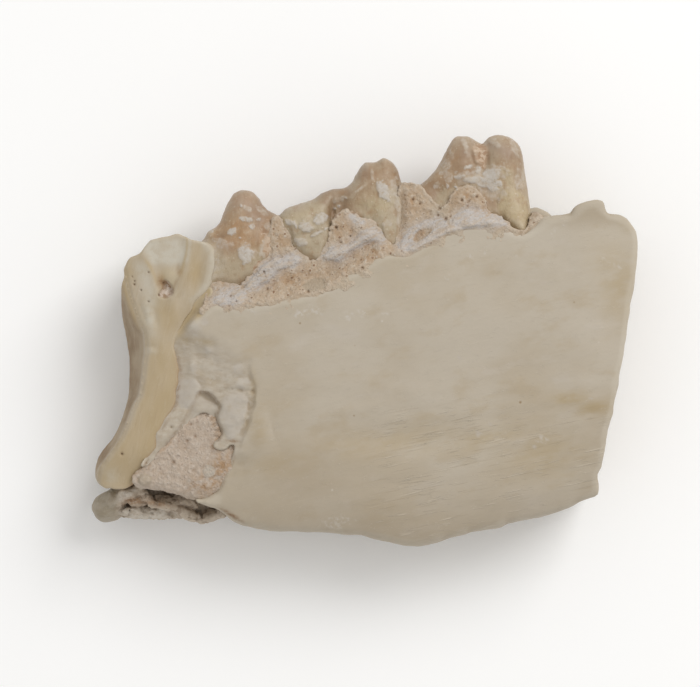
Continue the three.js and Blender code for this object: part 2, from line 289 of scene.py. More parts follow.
def largest_part(points, quads):
    """Keeps only the largest connected body, so that no stray crumbs are left."""
    label = np.arange(len(points))
    edges = np.vstack([quads[:, [0, 1]], quads[:, [1, 2]], quads[:, [2, 3]], quads[:, [3, 0]]])
    while True:
        low = np.minimum(label[edges[:, 0]], label[edges[:, 1]])
        new = label.copy()
        np.minimum.at(new, edges[:, 0], low)
        np.minimum.at(new, edges[:, 1], low)
        new = new[new]
        new = new[new]
        new = new[new]
        if (new == label).all():
            break
        label = new
    roots, counts = np.unique(label, return_counts=True)
    keep = label == roots[counts.argmax()]
    index = np.cumsum(keep) - 1
    quads = quads[keep[quads[:, 0]]]
    return points[keep], index[quads]


def neighbours(points, quads):
    """The mean of each point's neighbours."""
    total = np.zeros_like(points)
    count = np.zeros(len(points))
    for a, b in ((0, 1), (1, 2), (2, 3), (3, 0)):
        for p, q in ((quads[:, a], quads[:, b]), (quads[:, b], quads[:, a])):
            for c in range(3):
                total[:, c] += np.bincount(p, points[q, c], minlength=len(points))
            count += np.bincount(p, minlength=len(points))
    return total / count[:, None]


def mark(ob, **values):
    """Writes numbers onto the mesh's points for its material to use."""
    n = len(ob.data.vertices)
    for key, v in values.items():
        att = ob.data.attributes.new(key, "FLOAT", "POINT")
        att.data.foreach_set("value", np.ascontiguousarray(np.broadcast_to(v, (n,)), dtype=np.float32))


# ------------------------------------------------------------------ sizes shared with the CAD
BONE_FACE, BONE_UNDER, BORDER_FALL, GROOVE_DEPTH = 14.3, 1.3, 0.0026, 0.45
FLAKE_DEPTH, FAR_WALL, PLUG_FACE, ROOT_FACE = 0.31, 3.2, 12.65, 13.0
gum_line = profile([-27, 5.0], [-22.8, 4.6], [-19.1, 3.4], [-17.1, 3.9], [-15.4, 3.7], [-13, 3.9], [-9.7, 4.4], [-7.7, 4.9],
                   [-4.2, 5.9], [-2.2, 7.3], [0.3, 8.5], [2.3, 9.7], [4.7, 9.6], [7, 10.8], [12.1, 13.0], [13.9, 13.0],
                   [16.7, 12.5], [18.2, 12.3], [19.2, 13.0], [20.6, 14.2], [22.9, 14.6], [28.8, 14.6], [30.2, 14.3], [31.6, 14.0])
bone_bottom = profile([-30, -16.9], [-22, -18.0], [-17.2, -19.2], [-14.6, -21.3], [-10, -22.1],
                      [-1.9, -22.45], [5.8, -23.9], [8.6, -23.45], [9.4, -23.1], [11.6, -22.6], [12.4, -22.2], [15.8, -21.75], [16.8, -21.2],
                      [18.0, -21.0], [21.2, -20.2], [23.6, -19.35], [24.6, -18.8], [27.4, -17.9])
rear_break = profile([-18, 26.9], [-16.5, 27.05], [-14.5, 27.35], [-11, 28.1], [-7, 28.95], [5.5, 31.0], [8, 31.4], [10.7, 31.6], [12.4, 31.4], [13.4, 30.9], [14.6, 29.8])
front_break = profile([-17, -30.1], [-11.5, -28.2], [-4.5, -26.7], [1.3, -26.5], [5.2, -25.0])
PADS = [[8, 5.5, 8, 4.6, 1.1], [10, -14.5, 9, 4.6, 0.9], [-23.6, -8.5, 4.4, 6.5, 0.3]]
knob_shape = profile([22.9, 0], [23.6, 0.15], [24.1, 0.8], [24.7, 1.2], [25.6, 1.55], [26.9, 1.65], [27.4, 1.45], [27.62, 0.7], [27.75, 0.1], [28.2, 0])


def bone_top(x, knob=1.0):
    """Upper edge: under the sediment it runs on a little, at the back it has a knob."""
    hidden = 0.9 * ease(-17.8, -16.6, x) * ease(17.4, 16.6, x)
    collar = 1.7 * ease(-22.6, -20.2, x) * ease(-17.0, -17.6, x) + 1.1 * ease(-19.6, -18.8, x) * ease(-17.0, -17.6, x)
    return gum_line(x) + knob * np.where((x > 22.9) & (x < 28.2), knob_shape(x), 0.0) + hidden + collar


def bone_under(x, y):
    plain = lambda a, b: BONE_UNDER + 1.0 * ease(-16, -22, b) + 0.8 * ease(25, 32, a)
    z = plain(x, y)
    for cx, cy, rx, ry, over in PADS:
        z = z - blob(x, y, cx, cy, float(plain(np.array(cx * 1.0), np.array(cy * 1.0))) + over, rx, ry)
    return z


# ------------------------------------------------------------------ lines and loops on the broken end
root_edge = profile([-17, -27.3], [-16.2, -26.5], [-14.9, -25.8], [-13.4, -24.9], [-11.9, -23.9], [-10.8, -23.8],
                    [-10.2, -23.5], [-8.8, -22.7], [-7.1, -21.8], [-5.8, -21.7], [-4.4, -21.4], [-3.3, -21.4], [-2.1, -21.6],
                    [-0.4, -21.9], [0.9, -21.5], [2.6, -20.6], [3.7, -19.8], [4.9, -19.2], [5.4, -18.5], [6.1, -17.9],
                    [7.5, -17.2], [8.9, -16.9], [9.9, -17.0], [11.1, -17.7], [11.5, -18.4], [13.0, -18.9])
lit_edge = profile([-17, -30.9], [-14.8, -30.5], [-13.9, -29.9], [-12.5, -28.9], [-10.8, -27.8], [-9.1, -27.1],
                   [-7.3, -26.4], [-6.1, -25.8], [-3.4, -25.4], [-1.0, -25.1], [0.7, -25.2], [1.9, -25.7], [4.1, -26.5],
                   [6.0, -27.1], [8.0, -27.5], [12.6, -28.5])
stump_left = profile([-17, -30.2], [-15.4, -31.1], [-13.7, -30.9], [-11, -29.0], [-8.3, -27.8], [-6.0, -27.35], [-3.3, -27.3],
                     [3.9, -28.2], [5.5, -28.15], [6.5, -28.05], [7.5, -27.65], [8.3, -27.65], [9.4, -27.2], [10, -27.0], [13, -26.6])
stump_top = profile([-28.4, 7.2], [-27.7, 8.4], [-27.1, 9.4], [-26.7, 9.75], [-25.9, 10.05], [-25.2, 10.85], [-24.5, 11.65],
                    [-23.4, 11.95], [-22.3, 12.15], [-21.4, 12.4], [-20.8, 12.15], [-19.8, 11.7], [-18.9, 11.5], [-17.0, 11.3])
step_line = [(-13.1, 1.2), (-12.9, -1.0), (-12.9, -3.8), (-12.6, -4.5), (-12.4, -5.6), (-12.5, -6.6), (-12.8, -8.2),
             (-13.2, -9.6), (-13.8, -11.1), (-14.4, -12.4), (-14.9, -13.8)]
folds = [[(-13.0, -2.2), (-14.2, -2.5), (-15.4, -3.0), (-16.3, -3.3), (-17.1, -3.8), (-17.6, -4.5)],
         [(-13.0, -4.0), (-13.9, -4.1), (-14.6, -4.2), (-15.0, -4.6)],
         [(-12.8, -5.7), (-13.6, -5.6), (-14.8, -5.5), (-16.0, -5.5), (-16.7, -5.8)]]
left_lobe = [(-21.6, -5.1), (-21.1, -4.4), (-20.0, -4.1), (-19.1, -4.5), (-18.7, -5.3), (-19.2, -6.3), (-19.6, -7.1),
             (-20.2, -7.7), (-21.0, -7.6), (-21.7, -6.9), (-21.9, -6.0)]
right_lobe = [(-16.4, -6.9), (-15.8, -6.3), (-15.0, -6.1), (-14.0, -5.95), (-13.3, -6.6), (-13.35, -7.8), (-13.6, -9.0), (-14.3, -10.5),
              (-15.0, -11.2), (-15.7, -11.2), (-16.0, -10.4), (-16.6, -9.2), (-16.6, -8.0)]
cavity = [(-18.95, -5.85), (-18.5, -5.72), (-18.0, -5.80), (-17.3, -6.25), (-16.75, -6.95), (-16.45, -7.6), (-16.8, -8.3), (-16.75, -9.2),
          (-16.35, -10.0), (-16.3, -10.7), (-16.9, -11.5), (-18.3, -11.2), (-20.2, -12.0), (-22.4, -13.6), (-24.3, -14.6), (-24.9, -14.4),
          (-24.1, -13.2), (-22.9, -11.9), (-21.8, -10.6), (-20.8, -9.3), (-20.15, -8.1), (-19.7, -7.2), (-19.3, -6.4)]
strip = [(-21.7, -7.2), (-20.2, -7.8), (-20.7, -9.0), (-21.6, -10.2), (-22.5, -11.2), (-23.3, -12.1), (-24.1, -13.3),
         (-25.1, -14.2), (-25.0, -13.2), (-24.2, -12.0), (-24.1, -10.8), (-23.7, -9.5), (-22.8, -8.5)]
plug_loop = [(-18.5, -7.9), (-17.7, -8.2), (-17.1, -9.1), (-16.6, -10.2), (-16.3, -10.9), (-16.9, -11.6), (-17.05, -12.0), (-16.4, -12.2),
             (-15.9, -12.1), (-15.6, -11.7), (-15.1, -11.55), (-14.65, -11.75), (-14.6, -12.35), (-14.75, -12.9), (-15.1, -14.0), (-15.7, -15.3),
             (-16.3, -16.6), (-17.0, -17.6), (-18.0, -18.1), (-19.3, -18.2), (-21.1, -17.6), (-23.4, -17.0), (-25.0, -16.8), (-26.3, -16.4),
             (-26.5, -15.6), (-25.7, -14.7), (-24.5, -13.6), (-23.0, -12.2), (-21.6, -10.8), (-20.2, -9.2), (-19.2, -8.2)]
CORNER = ((-21.4, 0.5), (-18.0, 3.6))       # where the sound bone begins, below the tooth's collar


def corner_side(x, y):
    (ax, ay), (bx, by) = CORNER
    n = math.hypot(bx - ax, by - ay)
    return (-(x - ax) * (by - ay) + (y - ay) * (bx - ax)) / n


def flake_mask(x, y):
    s = smooth_line(step_line, 5, closed=False)
    edge = np.interp(-y, -s[:, 1], s[:, 0]) + 0.18 * noise(y * 1.1, 1.7, seed=11) + 0.10 * noise(y * 2.9, x * 0.4, seed=12)
    start = lerp(-1.2, 2.6, ease(-13.0, -20.5, x)) + 0.6 * noise(x * 0.7, 2.2, seed=19)
    return ease(0.20, -0.34, x - edge) * ease(start, start - 3.6, y) * ease(-14.8, -10.5, y)


# ------------------------------------------------------------------ jaw bone
def bone_plain(x, y):
    """The sound face: nearly flat, falling away to the lower border."""
    rim = np.clip(y - bone_bottom(x), 0, 6.5) / 6.5
    face = BONE_FACE - BORDER_FALL * np.minimum(0, y - 4) ** 2 - 1.1 * (1 - rim) ** 2.6
    face = face - blob(x, y, 3.5, -10.8, GROOVE_DEPTH, 9, 1.8) - 0.9 * ease(24, 33, x)
    face = face - 0.7 * ease(0.05, 0.7, y - gum_line(x)) * ease(19.2, 18.6, x) * ease(-17.6, -16.6, x)
    return face + blob(x, y, 6, 4, 0.3, 16, 5) + 0.10 * noise(x / 9, y / 5, seed=8) + 0.04 * noise(x / 3.5, y / 1.8, seed=9)


def bone_face(x, y):
    face = bone_plain(x, y)
    # low wavy streaks along the lower half
    u, v = x * 0.98 + y * 0.2, -x * 0.2 + y * 0.98
    low = ease(0, -9, y) * ease(-14, 4, x)
    wave = noise(u / 7.0, v / 0.9, seed=7)
    face = face + low * (0.06 * wave + 0.05 * noise(u / 3.0, v / 1.8, seed=6))
    # flaked patch beside the tooth root
    m = flake_mask(x, y)
    depth = FLAKE_DEPTH + 0.74 * ease(-13.0, -21.5, x)
    rolls = 0.20 * noise(x / 2.4, y / 1.25 - 0.3 * x, seed=13) + 0.09 * noise(x / 1.1, y / 0.7, seed=14) + 0.03 * noise(x / 0.5, y / 0.5, seed=10)
    # thin ledges where one flake left the next
    stair = 2.3 * noise(x / 3.0, y / 1.7 - 0.25 * x, seed=77) + 0.5 * noise(x / 0.9, y / 0.7, seed=78) - 0.55 * y
    part = stair - np.floor(stair)
    ledge = 0.09 * (ease(1.0, 0.88, part) * part - 0.45)
    face = face - m * (depth - 0.65 * rolls - ledge * ease(-20.5, -18.5, x))
    stray = 0.10 * noise(x / 0.8, y / 0.8, seed=20)
    for f, deep in zip(folds, (0.12, 0.09, 0.18)):
        d = line_distance(x, y, f) + stray
        face = face - deep * np.exp(-(d / 0.17) ** 2) * (0.7 + 0.5 * noise(x / 1.3, y / 1.3, seed=24))
    face = face + pillow(loop_distance(x, y, left_lobe) + stray, 0.24, 1.5, 0.07, 0.16) + pillow(loop_distance(x, y, right_lobe) + stray, 0.20, 1.6, 0.05, 0.16)
    face = face - blob(x, y, -15.1, -8.9, 0.14, 0.7, 0.16, 10) - blob(x, y, -14.0, -8.4, 0.09, 0.9, 0.14, 14)
    face = face + blob(x, y, -14.3, -4.9, 0.16, 0.85, 0.5, -12) + blob(x, y, -14.8, -3.25, 0.10, 0.8, 0.35, 10)
    face = face - blob(x, y, -21.0, 0.3, 0.14, 0.5, 0.25, -15)
    face = face + blob(x, y, -17.7, -1.05, 0.18, 0.42, 0.30) + blob(x, y, -19.9, -2.8, 0.16, 0.45, 0.6)
    # collar side, lower than the tooth's rim
    c = corner_side(x, y) + 0.22 * noise(x * 0.8, y * 0.8, seed=15)
    face = face - 0.85 * ease(-0.45, 0.9, c) * ease(-16.6, -17.6, x)
    # beside the root the surface comes down to it
    beside = x - root_edge(y)
    face = lerp(face, ROOT_FACE - 0.28, ease(2.2, -0.2, beside) * ease(1.8, -0.4, y) * ease(-14.5, -12.0, y))
    face = lerp(face, ROOT_FACE - 0.22, ease(1.3, 0.0, beside) * ease(0.0, 1.6, y))
    # strip beside the root, hollow behind the sediment
    st = loop_distance(x, y, strip)
    scallop = 0.14 * noise(x / 0.9, y / 0.9, seed=26) + 0.10 * noise(x / 2.0, y / 1.6, seed=29)
    strip_level = ROOT_FACE - 0.22 + scallop + pillow(st, 0.20, 0.7) - 0.5 * ease(-11.5, -14.5, y)
    face = lerp(face, strip_level, ease(0.25, -0.25, st) * ease(-7.0, -8.6, y))
    cv = loop_distance(x, y, cavity) + 0.08 * noise(x * 1.1, y * 1.1, seed=16) + 0.05 * noise(x * 2.6, y * 2.6, seed=38)
    floor = 12.60 + 0.34 * ease(-8.8, -7.4, y) + 0.16 * noise(x / 1.1, y / 1.1, seed=17) - 0.35 * blob(x, y, -17.6, -6.5, 1, 1.2, 0.6, -30) - 0.30 * ease(-20.0, -22.5, x)
    face = lerp(face, np.minimum(face, floor), ease(0.14, -0.30, cv))
    face = face - blob(x, y, -22.1, -9.9, 0.35, 0.17, 0.14)
    # the sound bone rolls down to the sediment
    dp = loop_distance(x, y, plug_loop)
    roll = ease(3.0, 0.0, dp) * ease(-12.4, -14.2, y) * ease(-23.0, -20.0, x)
    face = lerp(face, PLUG_FACE + 0.15, 0.8 * roll)
    # swelling and groove at the front of the sound bone
    face = face + blob(x, y, -11.8, -10.3, 0.20, 1.3, 2.8, 12) - blob(x, y, -10.2, -10.3, 0.10, 0.45, 2.2, 14)
    return lerp(face, FAR_WALL, ease(0.7, 1.6, -beside) * ease(-19.5, -20.2, x))


def make_bone():
    g = Grid(axis((-31.4, 0.36), (-25.5, 0.18), (-12.5, 0.18), (-10.0, 0.36), (33, 0.36), 33.0),
             axis((-25.2, 0.34), (-15, 0.28), (-13, 0.19), (1, 0.19), (4, 0.32), (18, 0.32), 17.6),
             axis((-0.9, 0.42), (10.5, 0.40), (11.6, 0.20), (15.6, 0.20), 15.7))
    X, Y, Z = g.X, g.Y, g.Z
    chip = 0.09 * noise(X * 0.9, Y * 0.9, seed=3) + 0.05 * noise(X * 2.3, Y * 2.3, seed=4)
    d_top = above(Y, bone_top, X) + chip
    d_low = -above(Y, bone_bottom, X) + chip - blob(X, Y, -1.9, -22.6, 0.18, 0.8, 0.5) + blob(X, Y, 9.0, -23.3, 0.12, 1.2, 0.8)
    d_left = front_break(Y) - X + 0.3 * noise(Y * 0.5, 3.3, seed=5)
    flat = both(both(d_top, d_low, 0.8), d_left, 0.8)
    face = bone_face(X, Y)
    under = np.maximum(bone_under(X, Y) + 0.05 * noise(X / 2.5, Y / 1.5, seed=18), 0.05)
    edge = 0.4 + 0.7 * ease(-14, -20, Y) * ease(-17, -13, X) * ease(30, 26, X)
    edge = edge + 0.35 * ease(8, 12, Y) * ease(18.6, 19.6, X) * ease(0, 0.4, np.abs(X - 26.0) - 1.9)
    # the sides roll under towards the floor side, and the knob is a low bump near the visible face
    turn = 1.2 + 2.4 * ease(-11, -20, Y)
    close = np.clip(1 - (Z - g.up(under)) / g.up(turn), 0, 1)
    lean = g.up(turn) * (1 - np.sqrt(1 - close * close))
    flat_low = both(both(above(Y, lambda v: bone_top(v, 0.0), X) + chip, d_low, 0.8), d_left, 0.8)
    lean = lean + g.up(flat_low - flat) * ease(11.0, 6.5, Z)
    body = g.body(flat, face, under, edge, lean)
    # rear break: a rough fracture, solid rim and spongy middle
    YY, ZZ = np.meshgrid(g.y, g.z, indexing="ij")
    brk = rear_break(YY) - 0.35 * ease(11, 14.5, ZZ) + 0.18 * noise(YY / 2.6, ZZ / 2.2, seed=21) + 0.10 * noise(YY / 0.9, ZZ / 0.9, seed=22)
    rim = np.minimum(np.minimum(13.0 - ZZ, ZZ - 2.6), np.minimum(13.6 - YY, YY + 16.5))
    near, own = grains(YY / 1.15, ZZ / 1.15, 0.0, seed=27)
    sponge = ease(0.2, 1.4, rim + 0.5 * noise(YY / 3, ZZ / 3, seed=28))
    brk = brk - sponge * (0.35 + 0.75 * ease(0.50, 0.20, near) * (0.35 + 0.65 * own))
    body = both(body, (g.x[:, None, None] - brk[None]).astype(np.float32), 0.3)
    # outer wall behind the crowns
    wall_top = lambda x: gum_line(x) + 3.6 * ease(-18.5, -15, x) * ease(23, 18, x) + 0.35 * np.sin(x * 0.9)
    wall2 = both(above(Y, wall_top, X), both(-18.3 - X, X - 22.4, 1.0), 1.0)
    wall2 = both(wall2, gum_line(X) - 6 - Y, 0.5)
    body = either(body, g.body(wall2, 3.4, under + 0.2, 0.8), 0.5)
    # seats of the tooth root and of the sediment plug
    root_seat = np.where(Y > 12.6, 9.0, np.maximum(X - root_edge(Y) + 0.3, lit_edge(Y) - 3.5 - X))
    body = less(body, np.maximum(g.up(root_seat), 3.75 - Z), 0.2)
    seat = loop_distance(X, Y, plug_loop) + 0.28 + 0.10 * noise(X * 1.2, Y * 1.2, seed=45)
    below = np.minimum(both(Y + 16.8, X + 19.6, 0.3), both(Y + 14.4, X + 23.4, 0.3))
    soft = g.up(0.15 + 0.75 * ease(-14.8, -17.2, Y))
    body = less(body, np.maximum(g.up(np.minimum(seat, below)), 3.75 - Z), soft)

    def fine(x, y, z):
        near = ease(-11, -14, x) * ease(11, 12, z)
        a, b = 0.8 * x + 0.6 * z, 0.8 * z - 0.6 * x + 0.5 * y
        worn = 0.24 + 0.22 * noise(a / 3.1, b / 2.3, y / 2.6, seed=93) + 0.05 * noise(a / 1.3, b / 1.1, y / 1.2, seed=94)
        return ease(12.0, 10.6, z) * ease(1.6, 3.0, z) * ease(-26.5, -25.0, x) * worn + near * 0.03 * noise(x / 0.9, y / 0.9, z / 0.9, seed=23) + 0.012 * noise(x / 1.5, y / 0.9, z / 1.2, seed=25)
    body = g.rough(body, fine)
    ob, p, n, hollow = skin("bone", g, body, ["jaw_bone"])
    x, y, z = p.T
    top = ease(0.2, 0.7, n[:, 2])
    c = corner_side(x, y) + 0.3 * noise(x, y, seed=15)
    chalk = flake_mask(x, y) * 0.22
    for loop, v in ((left_lobe, 0.8), (right_lobe, 0.8), (cavity, 0.5)):
        chalk = np.maximum(chalk, v * ease(0.25, -0.25, loop_distance(x, y, loop) + 0.3 * noise(x / 0.9, y / 0.9, seed=96)))
    chalk = np.maximum(chalk, 0.55 * ease(0.25, -0.25, loop_distance(x, y, strip)) * ease(-0.2, 0.5, x - 0.72 * y + 14.2))
    for cx, cy, r in ((-17.9, -1.0, 0.45), (-14.4, -3.2, 0.7), (-14.0, -4.8, 0.9), (-19.6, -3.1, 0.55), (-19.3, 1.5, 0.8), (-18.3, 2.2, 0.5), (13.1, -10.6, 0.30),
                      (10.9, -1.9, 0.16), (14.3, -9.5, 0.2), (19.5, -12.0, 0.18), (25.9, -6.5, 0.16)):
        chalk = np.maximum(chalk, 0.8 * ease(1.3, 0.6, np.hypot(x - cx, y - cy) / r + 0.4 * noise(x * 2.5, y * 2.5, seed=61)))
    stain = 0.0 * x
    for cx, cy, rx, ry, turn, v in ((23.5, -6.6, 2.2, 0.9, 8, 0.9), (26.5, -7.6, 2.4, 0.9, 10, 1.0), (14.5, -11.0, 4.5, 1.3, 8, 0.5),
                                    (3.5, -11.5, 9.0, 2.2, 8, 0.45), (21, -13.0, 5.0, 3.0, 10, 0.5), (-9.5, -14.2, 5.0, 1.6, 4, 0.55),
                                    (-12.2, -10.2, 1.0, 2.4, 12, 0.6), (29.2, 6.5, 2.4, 3.6, 0, 0.55), (-13.4, -9.6, 0.6, 1.0, 0, 0.7),
                                    (-12.7, -5.6, 0.35, 1.8, 0, 0.8), (-20.6, 0.1, 0.7, 0.40, 0, 0.9), (-18.2, -0.1, 1.2, 0.35, -6, 0.7), (-17.4, -4.6, 0.8, 0.6, 0, 0.5), (-18.9, -3.7, 0.6, 0.4, 0, 0.5), (28.6, 8.6, 3.0, 3.0, 0, 0.4)):
        stain = np.maximum(stain, blob(x, y, cx, cy, v, rx, ry, turn))
    rust = np.maximum(blob(x, y, -14.9, -20.2, 1.2, 2.0, 0.22, -32), blob(x, y, -2.2, -22.5, 1.1, 1.1, 0.3)) * ease(10.8, 12.4, z)
    # the brown line at the notch above the plug is painted shade beneath the bone's edge
    rust = np.maximum(rust, blob(x, y, -15.1, -11.4, 0.9, 0.8, 0.16, -4))
    rust = np.maximum(rust, 0.6 * np.exp(-((x - root_edge(y) - 0.28) / 0.22) ** 2) * ease(0.0, -2.0, y) * ease(-16, -14, y) * (0.6 + noise(x, y / 1.2, seed=67)))
    rust = np.maximum(rust, 0.55 * np.exp(-((loop_distance(x, y, cavity) + 0.04) / 0.20) ** 2) * (0.55 + 0.8 * noise(x, y, seed=68)) * ease(9, 12, z))
    rust = np.maximum(rust, 0.55 * np.exp(-((loop_distance(x, y, plug_loop) + 0.05) / 0.16) ** 2) * ease(-16.8, -16.2, x) * ease(-12.6, -13.4, y) * ease(-17.3, -16.6, y))
    amber = ease(-0.5, 0.5, c) * ease(-16.3, -17.5, x) * top
    low = np.maximum(ease(-12.0, -23.5, y) * ease(-16, -10, x), 1.3 * ease(12.4, 14.6, y) * ease(18.5, 20.5, x))
    low = np.maximum(low, 0.8 * ease(20, 28, x) * ease(-3.0, -9.0, y))
    low = np.maximum(low, blob(x, y, -7.5, -15.5, 1.0, 7.0, 3.6, -12))
    bloom = np.maximum(spots(x, y, [(-6.9, 3.25, 1.0, 0.35, 15), (-5.4, 3.4, 0.5, 0.3, 0), (-1.7, 3.0, 0.8, 0.5, 20), (-0.2, 3.4, 0.5, 0.3, 0),
                                    (2.3, 3.1, 0.3, 0.2, 0), (15.1, 11.6, 0.35, 0.14, 10), (13.9, 10.3, 0.25, 0.15, -20), (12.1, 9.6, 0.4, 0.22, 15),
                                    (11.3, 8.7, 0.2, 0.14, 0), (17.3, 9.9, 0.3, 0.12, 25), (28.6, 8.7, 0.5, 0.2, -15), (27.3, 9.6, 0.35, 0.15, 10),
                                    (21.6, 12.6, 0.9, 0.16, 38), (22.9, 13.5, 0.6, 0.14, 30), (9.6, 7.4, 0.3, 0.12, 20)], 62, 0.9), 0.8 * spots(x, y, [(-12.9, 3.6, 0.6, 0.3, -30), (20.3, -11.2, 0.7, 0.45, 0),
                                    (-3.2, -20.9, 1.6, 0.6, 12)], 64, 0.8))
    scratched = ease(-3, 5, x) * ease(-5.5, -10, y)
    # light whitish wisps at the top, where the chalky bloom lies
    mark(ob, chalk=np.clip(chalk, 0, 1), stain=np.clip(stain, 0, 1), rust=np.clip(rust, 0, 1), amber=amber, low=np.clip(low, 0, 1.4),
         bloom=bloom * top, scratched=scratched * top, flaked=np.maximum(flake_mask(x, y), chalk) * top,
         hollow=np.clip(hollow / 0.10, -1, 1), shade=ease(0.05, -0.25, loop_distance(x, y, cavity)) * ease(12.4, 11.6, z),
         sponge=ease(2.0, 1.3, rear_break(y) - x) * ease(0.6, 0.85, n[:, 0]) * ease(0.0, 1.2, np.minimum(np.minimum(13.0 - z, z - 2.6), np.minimum(13.6 - y, y + 16.5))))
    return ob


# ------------------------------------------------------------------ broken tooth with its root
V_LEFT = profile([5.0, -23.5], [5.6, -23.6], [6.6, -23.9], [7.6, -24.2], [8.8, -24.8], [9.8, -25.3], [12.6, -26.6])
V_RIGHT = profile([5.0, -22.5], [5.8, -21.9], [6.8, -21.5], [8.0, -21.0], [9.1, -20.7], [10.5, -20.4], [12.6, -20.3])
pulp_hole = [(-23.2, 6.8), (-22.75, 7.05), (-22.2, 6.4), (-21.9, 5.9), (-22.1, 5.3), (-22.7, 5.0), (-23.4, 5.1), (-23.6, 5.5), (-23.2, 6.0)]
PITS = ((-26.6, 7.45, 0.06), (-26.35, 6.95, 0.07), (-26.4, 6.55, 0.10), (-25.6, 5.9, 0.07), (-24.75, 4.6, 0.08), (-24.75, 7.95, 0.07),
        (-27.8, -12.9, 0.12))


def stump_face(X, Y):
    le, re = lit_edge(Y), root_edge(Y)
    crown = ease(0.5, 5.5, Y)
    face = ROOT_FACE - 1.5 * ease(-10.0, -17.2, Y) ** 2
    t = np.clip((X - (le + re) / 2) / np.maximum((re - le) / 2, 1.0), -1.2, 1.2)
    face = face - np.where(t < 0, 0.30, 0.16) * (1 - crown) * t * t + lerp(0.05, 0, crown) * t
    # left plate slopes away from the crease
    vl, vr = V_LEFT(Y), V_RIGHT(Y)
    face = face - crown * 0.13 * np.clip(vl - X, 0, 4)
    # right ridge, golden trough and collar rim
    face = face + crown * 0.22 * np.exp(-((X - vr - 0.6) / 0.7) ** 2)
    face = face - crown * blob(X, Y, -19.0, 7.6, 0.22, 0.9, 3.2, -8)
    face = face + crown * 0.06 * np.exp(-((X - re + 0.9) / 0.6) ** 2) * ease(2.5, 5, Y) * ease(10.5, 8.5, Y)
    face = face - 0.08 * ease(0.9, 0.0, re - X) ** 2 * ease(2.5, 5, Y)
    # opened pulp chamber: a shallow pale plate that closes to a point
    inside = ease(-0.35, 1.3, X - vl) * ease(-0.25, 0.75, vr - X) * ease(4.9, 5.9, Y)
    deep = lerp(0.58, 0.18, ease(6.2, 9.6, Y)) - 0.36 * blob(X, Y, -22.15, 7.3, 1.0, 0.95, 1.2, 8)
    face = face - inside * deep - blob(X, Y, -23.45, 6.5, 0.18, 0.35, 0.75, 10)
    hole = loop_distance(X, Y, pulp_hole) + 0.10 * noise(X * 2, Y * 2, seed=30)
    face = face - 0.42 * ease(0.12, -0.15, hole) + ease(0.05, -0.15, hole) * 0.24 * fbm(X / 0.42, Y / 0.42, seed=37, octaves=2)
    # folds between the collar and the root, left of the middle
    face = face - blob(X, Y, -25.5, 3.4, 0.16, 0.35, 1.5, 18) + blob(X, Y, -24.7, 2.3, 0.12, 0.55, 1.7, 10) \
        - blob(X, Y, -23.9, 2.6, 0.08, 0.35, 1.3, 12)
    face = face - blob(X, Y, -24.3, -0.6, 0.08, 0.7, 0.25, -10) + blob(X, Y, -24.4, -1.1, 0.07, 0.5, 0.2)
    for cx, cy, r in PITS:
        face = face - blob(X, Y, cx, cy, 0.40, r, r * 1.25)
    face = face + 0.05 * noise(X / 2.2, Y / 2.6, seed=33) + 0.02 * noise(X / 0.9, Y / 1.8, seed=34)
    # flank beyond the lit edge
    out = le + 0.08 * noise(Y * 0.6, 0.6, seed=38) - X
    return np.maximum(np.where(out > 0, face - 2.9 * out - 0.25 * np.minimum(out, 0.3), face - 0.22 * ease(0.5, 0.0, -out)), 4.7)


